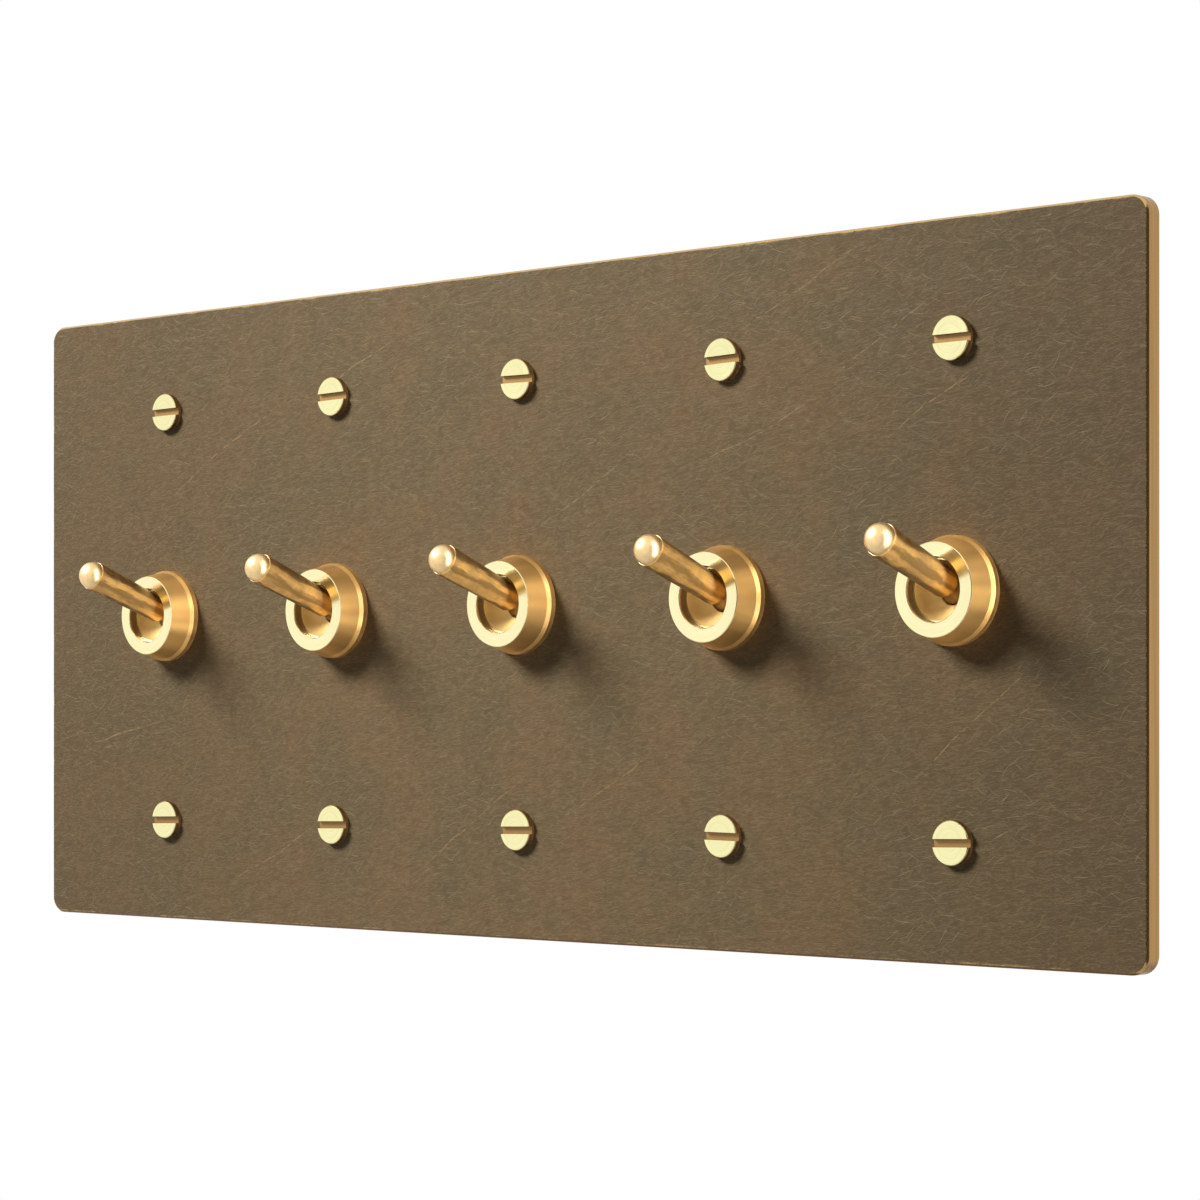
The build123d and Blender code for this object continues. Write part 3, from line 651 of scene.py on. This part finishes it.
@dataclass(frozen=True)
class SatinBrass(Finish):
    """Handled satin brass of the levers, smudged lengthwise, with a brighter dome, painted highlight bands along the
    rod and painted shade at its edges.
    """

    dome_start: float = 20.0
    # Painted shade tone of the rod's edges and foot, and painted highlight tone of its bands.
    dark: Colour = (0.2, 0.105, 0.03)
    light: Colour = (1.0, 0.63, 0.215)
    dome: Colour = (0.95, 0.69, 0.35)
    smear: Colour = (0.40, 0.25, 0.11)
    # The bright bands are painted highlights facing a fixed way round the axis: how many, where their middle faces,
    # their half width and fade.
    worn_sides: float = 6.0
    worn_middle: float = math.radians(-29.0)
    worn_half: float = math.radians(44.0)
    worn_fade: float = 0.3
    grip_start: float = 0.0
    grip_end: float = 6.0
    band_grain: Point = (0.5, 0.12, 0.5)
    hair_grain: Point = (5.0, 0.35, 5.0)
    smear_share: float = 0.4
    dome_share: float = 0.85
    rough: float = 0.64
    dome_rough: float = 0.36
    lacquer: float = 0.05
    lacquer_rough: float = 0.1

    def paint(self, coat: Coat) -> None:
        """Paints along the lever's own axis, with highlight bands painted a fixed way round it and painted shade at its
        edges and foot.

        Args:
            coat: The coat to paint.
        """
        sheet = coat.sheet
        own = coat.turned((0.0, PIVOT_Y, 0.0), "X_AXIS", LEVER_TILT)
        bands = coat.effect(Effect.LONG_LINES, own, fineness=self.band_grain)
        hairs = coat.effect(Effect.LONG_LINES, own, fineness=self.hair_grain)
        cloud = coat.effect(Effect.MOTTLE, own, patch=3.0)
        reach = PIVOT_Y - sheet.split(own)[1]
        dome = sheet.ramp(reach, self.dome_start - 0.1, self.dome_start + 0.1)
        turn = coat.effect(Effect.GANG_PLACE, own)["Turn"] + (bands["Tone"] - 0.5) * 0.4
        # Painted highlight: bright bands a fixed way round the rod, with painted shade beyond them at its edges.
        off = abs(turn - self.worn_middle)
        painted_highlight = sheet.ramp(sheet.maths("COSINE", turn * self.worn_sides), -1.0, 0.7, 0.3, 1.0)
        painted_highlight = painted_highlight * sheet.ramp(off, self.worn_half + self.worn_fade, self.worn_half)
        # Painted shade: the highlight bands fade out towards the foot, where the lever goes into the collar.
        painted_highlight = painted_highlight * sheet.ramp(reach, self.grip_start, self.grip_end)
        painted_highlight = painted_highlight * sheet.blend(hairs["Tone"], 0.85, 1.0) * sheet.blend(bands["Tone"], 0.75, 1.0)
        colour = sheet.layers(self.dark, (painted_highlight, self.light), (cloud["Broad"] * self.smear_share, self.smear),
                              (dome * self.dome_share, self.dome))
        rough = bands["Tone"] * -0.1 + self.rough + cloud["Fine"] * 0.08
        coat.feed({"Base Color": colour, "Metallic": 1.0, "Coat Weight": self.lacquer,
                   "Coat Roughness": self.lacquer_rough,
                   "Roughness": sheet.blend(dome, rough, self.dome_rough)})
        coat.bump(hairs["Height"], 0.15, 0.03)


@dataclass(frozen=True)
class StampedMetal(Finish):
    """Plain sheet or bar metal behind the plate, with rolling lines and a light tarnish."""

    base: Colour = (0.66, 0.66, 0.67)
    tarnish: Colour = (0.45, 0.43, 0.38)
    bloom: Colour = (0.62, 0.56, 0.42)
    grain: Point = (5.0, 5.0, 0.25)
    bloom_share: float = 0.4
    tarnish_share: float = 0.4
    line_share: float = 0.2
    rough: float = 0.32

    def paint(self, coat: Coat) -> None:
        """Paints the metal with its lines, tarnish and a coloured bloom.

        Args:
            coat: The coat to paint.
        """
        lines = coat.effect(Effect.LONG_LINES, fineness=self.grain)
        cloud = coat.effect(Effect.MOTTLE, patch=6.0)
        colour = coat.sheet.layers(
            self.base, (cloud["Broad"] * self.bloom_share, self.bloom),
            (cloud["Fine"] * self.tarnish_share, self.tarnish), (lines["Tone"] * self.line_share, self.tarnish))
        coat.feed({"Base Color": colour, "Metallic": 1.0, "Roughness": cloud["Fine"] * 0.14 + self.rough})
        coat.bump(lines["Height"], 0.2, 0.03)


@dataclass(frozen=True)
class Moulding(Finish):
    """Moulded insulating plastic with a fine skin and flow marks."""

    base: Colour = (0.03, 0.022, 0.018)
    flow: Colour = (0.06, 0.042, 0.03)
    cloudy: float = 0.35
    rough: float = 0.4
    grain: float = 0.35

    def paint(self, coat: Coat) -> None:
        """Paints the moulding with its flow marks and skin.

        Args:
            coat: The coat to paint.
        """
        skin = coat.effect(Effect.MOULDED_GRAIN, grain=self.grain)
        cloud = coat.effect(Effect.MOTTLE, patch=9.0)
        colour = coat.sheet.layers(self.base, (skin["Flow"], self.flow), (cloud["Fine"] * self.cloudy, self.base))
        coat.feed({"Base Color": colour, "Roughness": cloud["Fine"] * 0.16 + self.rough})
        coat.bump(skin["Height"], 0.25, 0.05)


def link(name: str, data: bpy.types.ID) -> bpy.types.Object:
    """Makes an object of a mesh, lamp or camera and links it to the scene.

    Args:
        name: The object's name.
        data: What it shows.

    Returns:
        The new object, at the origin.
    """
    made = bpy.data.objects.new(name, data)
    bpy.context.scene.collection.objects.link(made)
    return made


class ShapeTree:
    """A Geometry Nodes tree with named inputs that is grown into plain meshes."""

    WELD = 0.0005

    def __init__(self, name: str, counts: Sequence[str], sizes: Sequence[str]) -> None:
        """Opens the tree with its inputs.

        Args:
            name: The tree's name.
            counts: Its whole-number inputs.
            sizes: Its length, share and angle inputs.
        """
        self.tree = bpy.data.node_groups.new(name, "GeometryNodeTree")
        self.sheet = NodeSheet(self.tree)
        make = self.tree.interface.new_socket
        kinds = {"Int": counts, "Float": sizes, "Vector": ("Seat", "Facing"), "Material": ("Finish",)}
        made = [make(key, in_out="INPUT", socket_type="NodeSocket" + kind)
                for kind, keys in kinds.items() for key in keys]
        make("Geometry", in_out="OUTPUT", socket_type="NodeSocketGeometry")
        self._keys = {socket.name: socket.identifier for socket in made}
        self.given = self.sheet.outputs("NodeGroupInput")

    def grid(self, rows: Feed, sides: int) -> tuple[Value, Value, Value]:
        """Lays out a grid that is to be wrapped round the upright axis.

        Args:
            rows: How many points it has along the axis.
            sides: How many flats make the round.

        Returns:
            The grid, each point's row and its turn about the axis.
        """
        sheet = self.sheet
        size = {"Size X": 1.0, "Size Y": 1.0, "Vertices X": rows, "Vertices Y": sides + 1}
        index = sheet.add("GeometryNodeInputIndex")
        row = sheet.maths("FLOOR", (index + 0.5) / (sides + 1.0))
        turn = sheet.maths("MODULO", index, sides + 1.0) * (math.tau / sides)
        return sheet.add("GeometryNodeMeshGrid", size), row, turn

    def turned(self, profile: Sequence[tuple[Feed, Feed]], sides: int) -> Value:
        """Turns a profile about the upright axis.

        Args:
            profile: Radius and height of each point, from the foot up the outside.
            sides: How many flats make the round.

        Returns:
            The turned shell.
        """
        sheet = self.sheet
        mesh, row, turn = self.grid(len(profile), sides)
        table = sheet.node("GeometryNodeIndexSwitch", data_type="VECTOR")
        while len(table.index_switch_items) < len(profile):
            table.index_switch_items.new()
        points = [sheet.join(radius, 0.0, height) for radius, height in profile]
        for socket, value in zip(table.inputs, (row, *points)):
            sheet.feed(socket, value)
        radius, _, height = sheet.split(Value(sheet, table.outputs[0]))
        return self.wrapped(mesh, radius, turn, height)

    def wrapped(self, mesh: Feed, radius: Value, turn: Feed, height: Feed) -> Value:
        """Sets a grid's points round the upright axis and closes its seam and poles.

        Args:
            mesh: The grid.
            radius: Each point's distance from the axis.
            turn: Its turn about the axis.
            height: Its height.

        Returns:
            The closed shell.
        """
        cosine, sine = self.sheet.circle(turn)
        place = self.sheet.join(radius * cosine, radius * sine, height)
        moved = self.sheet.add("GeometryNodeSetPosition", {"Geometry": mesh, "Position": place})
        return self.sheet.add("GeometryNodeMergeByDistance", {"Geometry": moved, "Distance": self.WELD * MM})

    def rows(self, mesh: Feed, turn: Feed) -> Value:
        """Sets copies of a piece on the grid of the gangs.

        Args:
            mesh: The piece.
            turn: How far each copy is turned about its own axis.

        Returns:
            The copies.
        """
        sheet, columns, rows = self.sheet, self.given["Columns"], self.given["Rows"]
        grid = {"Size X": (columns - 1.0) * self.given["Column Pitch"], "Vertices X": columns,
                "Size Y": (rows - 1.0) * self.given["Row Pitch"], "Vertices Y": rows}
        copies = {"Points": sheet.add("GeometryNodeMeshGrid", grid), "Instance": mesh,
                  "Rotation": sheet.join(0.0, 0.0, turn)}
        return sheet.add("GeometryNodeInstanceOnPoints", copies)

    def close(self, geometry: Feed, crease: float) -> None:
        """Ends the tree: places the shape, makes it plain mesh, shades it and gives it its finish.

        Args:
            geometry: The finished shape.
            crease: The angle in degrees past which an edge stays sharp.
        """
        sheet = self.sheet
        seated = {"Geometry": geometry, "Translation": self.given["Seat"], "Rotation": self.given["Facing"]}
        plain = sheet.add("GeometryNodeRealizeInstances", {0: sheet.add("GeometryNodeTransform", seated)})
        smooth = sheet.add("GeometryNodeSetShadeSmooth", {"Geometry": plain, "Shade Smooth": True}, domain="FACE")
        angle = sheet.add("GeometryNodeInputMeshEdgeAngle", output="Unsigned Angle")
        sharp = sheet.maths("GREATER_THAN", angle, math.radians(crease))
        creased = {"Geometry": smooth, "Selection": sharp, "Shade Smooth": False}
        shaded = sheet.add("GeometryNodeSetShadeSmooth", creased, domain="EDGE")
        dressed = {"Geometry": shaded, "Material": self.given["Finish"]}
        sheet.node("NodeGroupOutput", {0: sheet.add("GeometryNodeSetMaterial", dressed)})

    def grow(self, name: str, sizes: dict[str, object], finish: bpy.types.Material) -> bpy.types.Object:
        """Grows the tree into a piece.

        Args:
            name: The piece's name.
            sizes: The tree's inputs by name.
            finish: Its material.

        Returns:
            An object at the origin with a plain mesh.
        """
        piece = link(name, bpy.data.meshes.new(name + "_seed"))
        modifier = piece.modifiers.new("shape", "NODES")
        modifier.node_group = self.tree
        for key, value in {**sizes, "Finish": finish}.items():
            modifier[self._keys[key]] = value
        graph = bpy.context.evaluated_depsgraph_get()
        graph.update()
        grown = piece.evaluated_get(graph)
        mesh = bpy.data.meshes.new_from_object(grown, preserve_all_data_layers=True, depsgraph=graph)
        piece.modifiers.remove(modifier)
        piece.data = mesh
        mesh.name = name
        return piece


def settle(piece: bpy.types.Object, body: str, nodes: Sequence[str]) -> None:
    """Lets a made piece stand for its CAD nodes and ride on their body.

    Args:
        piece: The piece.
        body: The CAD body that carries it.
        nodes: The CAD nodes it stands for.
    """
    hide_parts(*nodes)
    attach(piece, body)
    LOG.info("%s: %d faces on %s", piece.name, len(piece.data.polygons), body)


def dress(nodes: Sequence[str], finish: Finish) -> None:
    """Gives CAD nodes a finish.

    Args:
        nodes: The nodes' names.
        finish: Their finish.
    """
    material = finish.material()
    for node in nodes:
        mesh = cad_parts[node].data
        mesh.materials.clear()
        mesh.materials.append(material)
        LOG.info("%s: %s", node, material.name)


def gangs(*names: str) -> list[str]:
    """The names of pieces that every gang has."""
    return [f"{name}_{number}" for name in names for number in range(1, GANGS + 1)]


@dataclass(frozen=True)
class SlottedScrews:
    """Rows of slotted machine screws, with sizes in millimetres."""

    node: str
    facing: Facing
    finish: Finish
    slot: Slot
    rows: int
    row_pitch: float
    head_radius: float
    head_height: float
    head_chamfer: float
    slot_width: float
    slot_depth: float
    neck_radius: float
    neck_length: float
    thread_radius: float
    thread_pitch: float
    thread_depth: float
    seed: int
    wander: float = math.radians(1.6)

    SIDES = 72
    THREAD_SIDES = 28
    THREAD_STEPS = 7
    CAP_ROWS = 3.0
    POINT_TURNS = 1.2
    CUTTER_REACH = 2.4
    CREASE = 24.0
    LENGTHS = ("Row Pitch", "Head Radius", "Head Height", "Head Chamfer", "Slot Width", "Slot Depth", "Neck Radius",
               "Neck Length", "Thread Radius", "Thread Depth")

    def tree(self) -> ShapeTree:
        """Draws the screw and its rows.

        Returns:
            The tree, ready to grow.
        """
        tree = ShapeTree("slotted_screws", ["Columns", "Rows", "Thread Turns", "Seed"],
                         ["Column Pitch", "Thread Pitch", "Wander", *self.LENGTHS])
        sheet, given = tree.sheet, tree.given
        neck, neck_end = given["Neck Radius"], -given["Neck Length"]
        head, top, chamfer = given["Head Radius"], given["Head Height"], given["Head Chamfer"]
        body = tree.turned([(0.0, neck_end), (neck, neck_end), (neck, 0.0), (head, 0.0), (head, top - chamfer),
                            (head - chamfer, top), (0.0, top)], self.SIDES)
        size = sheet.join(head * self.CUTTER_REACH, given["Slot Width"], given["Slot Depth"] * 2.0)
        cutter = sheet.add("GeometryNodeMeshCube", {"Size": size})
        raised = {"Geometry": cutter, "Translation": sheet.join(0.0, 0.0, top)}
        cut = {"Mesh 1": body, "Mesh 2": sheet.add("GeometryNodeTransform", raised)}
        slotted = sheet.add("GeometryNodeMeshBoolean", cut, operation="DIFFERENCE")
        both = sheet.node("GeometryNodeJoinGeometry")
        for part in (self.thread(tree, neck_end), slotted):
            sheet.feed(both.inputs[0], part)
        wander = {2: -given["Wander"], 3: given["Wander"], "Seed": given["Seed"]}
        turn = sheet.add("FunctionNodeRandomValue", wander, 1, data_type="FLOAT")
        tree.close(tree.rows(Value(sheet, both.outputs[0]), turn), self.CREASE)
        return tree

    def thread(self, tree: ShapeTree, start: Value) -> Value:
        """Draws the threaded shank.

        Args:
            tree: The tree to draw in.
            start: The height at which the thread starts.

        Returns:
            The closed shank.
        """
        sheet, given = tree.sheet, tree.given
        steps = given["Thread Turns"] * float(self.THREAD_STEPS) + self.CAP_ROWS
        mesh, row, turn = tree.grid(steps, self.THREAD_SIDES)
        turn = -turn
        last = steps - 1.0
        inner = sheet.maths("MINIMUM", sheet.highest(row, 1.0), last - 1.0)
        turns = (inner - 1.0) / float(self.THREAD_STEPS)
        ridge = abs(sheet.maths("FRACT", turns + turn / math.tau) * 2.0 - 1.0)
        point = sheet.ramp(given["Thread Turns"] - turns, self.POINT_TURNS, 0.0) * given["Thread Depth"]
        radius = given["Thread Radius"] - given["Thread Depth"] * ridge - point
        capped = sheet.maths("GREATER_THAN", row, 0.5) * sheet.maths("LESS_THAN", row, last - 0.5)
        return tree.wrapped(mesh, radius * capped, turn, start - turns * given["Thread Pitch"])

    def build(self) -> None:
        """Grows the screws where the CAD node has them."""
        low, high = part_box(self.node)
        sign, outside, inside = (1.0, high.y, -low.y) if self.facing is Facing.WALL else (-1.0, -low.y, high.y)
        seat = outside - self.head_height * MM
        length = outside + inside - (self.head_height + self.neck_length) * MM
        turns = round(length / (self.thread_pitch * MM))
        sizes = {key: getattr(self, key.replace(" ", "_").lower()) * MM for key in self.LENGTHS}
        sizes.update({"Columns": GANGS, "Rows": self.rows, "Thread Turns": turns, "Seed": self.seed,
                      "Wander": self.wander, "Column Pitch": GANG_PITCH * MM, "Thread Pitch": length / turns,
                      "Seat": (0.0, sign * seat, 0.0), "Facing": (self.facing.value, 0.0, 0.0)})
        piece = self.tree().grow("turned_" + self.node, sizes, self.finish.material())
        settle(piece, "switch_plate", [self.node])


@dataclass(frozen=True)
class Collars:
    """The row of conical ring nuts, with sizes in millimetres."""

    finish: Finish
    bore: float = 5.0
    base: float = 8.5
    rim: float = 1.0
    shoulder: float = 8.15
    rise: float = 0.7
    front: float = 7.3
    edge: float = 0.12
    height: float = COLLAR_HEIGHT

    SIDES = 160
    CREASE = 12.0

    def build(self) -> None:
        """Grows the five collars on the plate."""
        names = ["Bore", "Base", "Rim", "Shoulder", "Rise", "Front", "Edge", "Height"]
        tree = ShapeTree("conical_collars", ["Columns", "Rows"], ["Column Pitch", "Row Pitch", *names])
        bore, base, rim, shoulder, rise, front, edge, height = (tree.given[name] for name in names)
        lip = height - edge
        ring = tree.turned([
            (bore, 0.0), (base, 0.0), (base, rim), (shoulder, rim + rise), (front, lip), (front - edge, height),
            (bore + edge, height), (bore, lip), (bore, 0.0)], self.SIDES)
        tree.close(tree.rows(ring, 0.0), self.CREASE)
        sizes = {name: getattr(self, name.lower()) * MM for name in names}
        sizes.update({"Columns": GANGS, "Rows": 1, "Column Pitch": GANG_PITCH * MM, "Row Pitch": 0.0,
                      "Seat": (0.0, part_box("collar_1")[1].y, 0.0), "Facing": (Facing.ROOM.value, 0.0, 0.0)})
        piece = tree.grow("conical_collars", sizes, self.finish.material())
        settle(piece, "switch_plate", gangs("collar"))


@dataclass(frozen=True)
class PlungerSprings:
    """The coil spring in each lever's tail, with sizes in millimetres."""

    finish: Finish
    length: float = 3.34
    wire: float = 0.25
    coil_radius: float = 0.765
    turns: float = 5.0
    stroke: float = 1.1

    STEPS = 24
    WIRE_SIDES = 10
    CREASE = 50.0

    def tree(self) -> ShapeTree:
        """Draws one spring.

        Returns:
            The tree, ready to grow.
        """
        tree = ShapeTree("coil_spring", ["Steps"], ["Turns", "Coil Radius", "Wire Radius", "Length"])
        sheet, given = tree.sheet, tree.given
        spiral = {"Resolution": given["Steps"], "Rotations": given["Turns"], "Start Radius": given["Coil Radius"],
                  "End Radius": given["Coil Radius"], "Height": given["Length"]}
        wire = {"Resolution": self.WIRE_SIDES, "Radius": given["Wire Radius"]}
        coil = {"Curve": sheet.add("GeometryNodeCurveSpiral", spiral),
                "Profile Curve": sheet.add("GeometryNodeCurvePrimitiveCircle", wire), "Fill Caps": True}
        tree.close(sheet.add("GeometryNodeCurveToMesh", coil), self.CREASE)
        return tree

    def build(self) -> None:
        """Grows one spring for each lever."""
        tree, material = self.tree(), self.finish.material()
        back = Vector((0.0, math.cos(LEVER_TILT), -math.sin(LEVER_TILT)))
        half = (self.length - self.wire) / 2 * MM
        for number in range(1, GANGS + 1):
            low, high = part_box(f"plunger_spring_{number}")
            seat = (low + high) / 2 - back * half
            sizes = {"Steps": self.STEPS, "Turns": self.turns, "Coil Radius": self.coil_radius * MM,
                     "Wire Radius": self.wire / 2 * MM, "Length": 2 * half, "Seat": tuple(seat),
                     "Facing": (Facing.WALL.value - LEVER_TILT, 0.0, 0.0)}
            spring = tree.grow(f"coil_spring_{number}", sizes, material)
            settle(spring, f"lever_{number}", [f"plunger_spring_{number}"])
            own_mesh(spring)


@dataclass(frozen=True)
class Lamp:
    """A square soft lamp that looks at the plate: its direction and, in metres, its distance and side.

    Its glow is how bright its face is, where a white surface is 1.
    """

    name: str
    way: Point
    distance: float
    size: float
    glow: float

    def build(self) -> None:
        """Sets the lamp."""
        data = bpy.data.lights.new(self.name, "AREA")
        data.shape = "SQUARE"
        data.size = self.size
        data.energy = self.glow * math.pi * self.size * self.size
        lamp = link(self.name, data)
        towards = Vector(self.way).normalized()
        lamp.location = towards * self.distance
        lamp.rotation_euler = towards.to_track_quat("Z", "Y").to_euler()
        lamp.visible_camera = False


@dataclass(frozen=True)
class Card:
    """An upright card that only the metal's reflections see, in metres, turned from facing along Y."""

    name: str
    place: Point
    width: float
    height: float
    turn: float
    shade: float

    HIDDEN_FROM = ("camera", "diffuse", "transmission", "volume_scatter", "shadow")

    def build(self) -> None:
        """Sets the card."""
        mesh = bpy.data.meshes.new(self.name)
        wide, tall = self.width / 2, self.height / 2
        mesh.from_pydata([(-wide, 0, -tall), (wide, 0, -tall), (wide, 0, tall), (-wide, 0, tall)], [], [(0, 1, 2, 3)])
        card = link(self.name, mesh)
        card.location = self.place
        card.rotation_euler = (0.0, 0.0, self.turn)
        for ray in self.HIDDEN_FROM:
            setattr(card, "visible_" + ray, False)
        coat = Coat(self.name)
        coat.feed({"Base Color": (0.0, 0.0, 0.0), "Emission Color": (self.shade, self.shade, self.shade),
                   "Emission Strength": 1.0, "Specular IOR Level": 0.0})
        mesh.materials.append(coat.material)


@dataclass(frozen=True)
class Studio:
    """Camera, light and floor, with lengths in metres."""

    camera_place: Point = (0.40266, -0.4214, -0.02009)
    camera_turn: float = math.radians(42.541)
    focal_pixels: float = 3396.95
    horizon_row: float = 722.37
    sensor: float = 36.0
    sky: float = 0.018
    floor_height: float = -0.5
    floor_radius: float = 1.2
    floor_sides: int = 96
    floor_tone: Colour = (0.92, 0.92, 0.92)
    floor_rough: float = 0.9
    floor_shine: float = 0.1
    floor_core: float = 0.3
    near: float = 0.01
    key: Lamp = Lamp("key_lamp", (-0.56, -0.57, 0.59), distance=1.05, size=0.3, glow=61.0)
    wall: Card = Card("right_wall", (0.7, -0.1, -0.1), 0.2, 1.8, turn=math.radians(90), shade=9.5)
    shade: Card = Card("dark_front", (0.797, -0.498, 0.0), 0.4, 1.2, turn=math.radians(59), shade=0.05)

    def camera(self) -> None:
        """Sets the camera level, to the right of the plate, with the shift that the framing needs."""
        data = bpy.data.cameras.new("photo_camera")
        data.sensor_width = self.sensor
        data.lens = self.focal_pixels / IMAGE_SIZE * self.sensor
        data.shift_y = (self.horizon_row - IMAGE_SIZE / 2) / IMAGE_SIZE
        data.clip_start = self.near
        camera = link("photo_camera", data)
        camera.location = self.camera_place
        camera.rotation_euler = (math.pi / 2, 0.0, self.camera_turn)
        bpy.context.scene.camera = camera

    def world(self) -> None:
        """A white surround that the camera and the metal see, and that lights the rest more softly."""
        world = bpy.data.worlds.new("white_surround")
        world.use_nodes = True
        world.cycles.sampling_method = "NONE"
        bpy.context.scene.world = world
        sheet = NodeSheet(world.node_tree)
        rays = sheet.outputs("ShaderNodeLightPath")
        seen = sheet.highest(*(rays[f"Is {kind} Ray"] for kind in ("Camera", "Glossy", "Transmission")))
        background = world.node_tree.nodes["Background"]
        sheet.feed(background.inputs["Color"], (1.0, 1.0, 1.0))
        sheet.feed(background.inputs["Strength"], sheet.blend(seen, self.sky, 1.0))

    def floor(self) -> None:
        """A pale round floor below the plate that fades out at its rim."""
        mesh = bpy.data.meshes.new("pale_floor")
        radius, sides = self.floor_radius, self.floor_sides
        turns = [math.tau * step / sides for step in range(sides)]
        ring = [(radius * math.cos(turn), radius * math.sin(turn), self.floor_height) for turn in turns]
        mesh.from_pydata(ring, [], [tuple(range(sides))])
        floor = link("pale_floor", mesh)
        coat = Coat("pale_floor")
        x, y, _ = coat.sheet.split(coat.place)
        out = coat.sheet.maths("SQRT", x ** 2.0 + y ** 2.0)
        rim = radius * PER_METRE
        coat.feed({"Base Color": self.floor_tone, "Roughness": self.floor_rough, "Specular IOR Level": self.floor_shine,
                   "Alpha": coat.sheet.ramp(out, rim, rim * self.floor_core)})
        mesh.materials.append(coat.material)

    def build(self) -> None:
        """Sets everything up."""
        bpy.context.scene.view_settings.view_transform = "Standard"
        self.camera()
        self.world()
        self.floor()
        for light in (self.key, self.wall, self.shade):
            light.build()
        LOG.info("studio: camera, floor, lamp and cards")


@dataclass(frozen=True)
class SwitchPlate:
    """The plate with its ten screws and five collars."""

    patina: Finish = AntiquePatina("antique_patina")
    screws: SlottedScrews = SlottedScrews(
        node="plate_screws", facing=Facing.ROOM, slot=Slot.POLISHED, rows=2, row_pitch=SCREW_SPACING,
        head_radius=3.5, head_height=SCREW_HEAD, head_chamfer=0.18, slot_width=1.3, slot_depth=0.7, neck_radius=1.45,
        neck_length=3.0, thread_radius=1.75, thread_pitch=0.6, thread_depth=0.3, seed=3,
        # The screw heads' near-black side colour is painted shade on their sides.
        finish=TurnedBrass("turned_screws", face_y=PLATE_FRONT - SCREW_HEAD, foot_y=PLATE_FRONT, row=SCREW_SPACING / 2,
                           hollow=3.45, face=(0.98, 0.92, 0.49), side=(0.15, 0.085, 0.028)))
    collars: Collars = Collars(
        TurnedBrass("turned_collars", face_y=PLATE_FRONT - COLLAR_HEIGHT, foot_y=PLATE_FRONT, hollow=5.08))

    def build(self) -> None:
        """Dresses the plate and makes what is fixed to its front."""
        dress(["face_plate"], self.patina)
        self.screws.build()
        self.collars.build()


@dataclass(frozen=True)
class ToggleLevers:
    """The levers with their bushes, pins, springs and plungers."""

    satin: Finish = SatinBrass("satin_levers")
    dished: Finish = TurnedBrass("dished_bushes", face_y=-7.0, foot_y=5.0, side=(1.0, 0.77, 0.34), side_rough=0.64,
                                 cloudy=0.1)
    steel: Finish = StampedMetal("plated_steel")
    nylon: Finish = Moulding("nylon", base=(0.78, 0.75, 0.66), flow=(0.86, 0.83, 0.75), rough=0.34, grain=0.2)
    springs: PlungerSprings = PlungerSprings(StampedMetal("spring_steel", base=(0.6, 0.6, 0.62)))

    def build(self) -> None:
        """Dresses the turned pieces and makes the springs."""
        dress(gangs("toggle_lever"), self.satin)
        dress(gangs("bush"), self.dished)
        dress(gangs("pivot_pin"), self.steel)
        self.springs.build()
        dress(gangs("plunger"), self.nylon)


@dataclass(frozen=True)
class SwitchBodies:
    """What sits behind the plate: nuts, washers, saddles, moulded bodies, terminals and rockers."""

    zinc: Finish = StampedMetal("zinc_plate")
    phenolic: Finish = Moulding("phenolic")
    brass: Finish = StampedMetal("terminal_brass", base=(0.78, 0.58, 0.28), tarnish=(0.46, 0.29, 0.12),
                                 bloom=(0.66, 0.42, 0.18))
    screws: SlottedScrews = SlottedScrews(
        node="terminal_screws", facing=Facing.WALL, slot=Slot.TERMINAL, rows=3, row_pitch=7.37, head_radius=2.4,
        head_height=1.6, head_chamfer=0.25, slot_width=0.8, slot_depth=0.8, neck_radius=1.2, neck_length=0.1,
        thread_radius=1.5, thread_pitch=0.5, thread_depth=0.25, seed=8,
        finish=StampedMetal("terminal_screw_brass", base=(0.8, 0.6, 0.3), tarnish=(0.5, 0.32, 0.14),
                            bloom=(0.7, 0.48, 0.2)))

    def build(self) -> None:
        """Dresses the pieces behind the plate and makes the terminal screws."""
        dress(["lock_nuts", "lock_washers", *gangs("frame")], self.zinc)
        dress(gangs("housing"), self.phenolic)
        dress(gangs("common_terminal", "throw_terminals", "rocker"), self.brass)
        self.screws.build()


def main() -> None:
    """Builds the studio, then the sub-assemblies in order."""
    logging.basicConfig(level=logging.INFO, format="%(message)s")
    for assembly in (Studio(), SwitchPlate(), ToggleLevers(), SwitchBodies()):
        assembly.build()


if __name__ == "__main__":
    main()
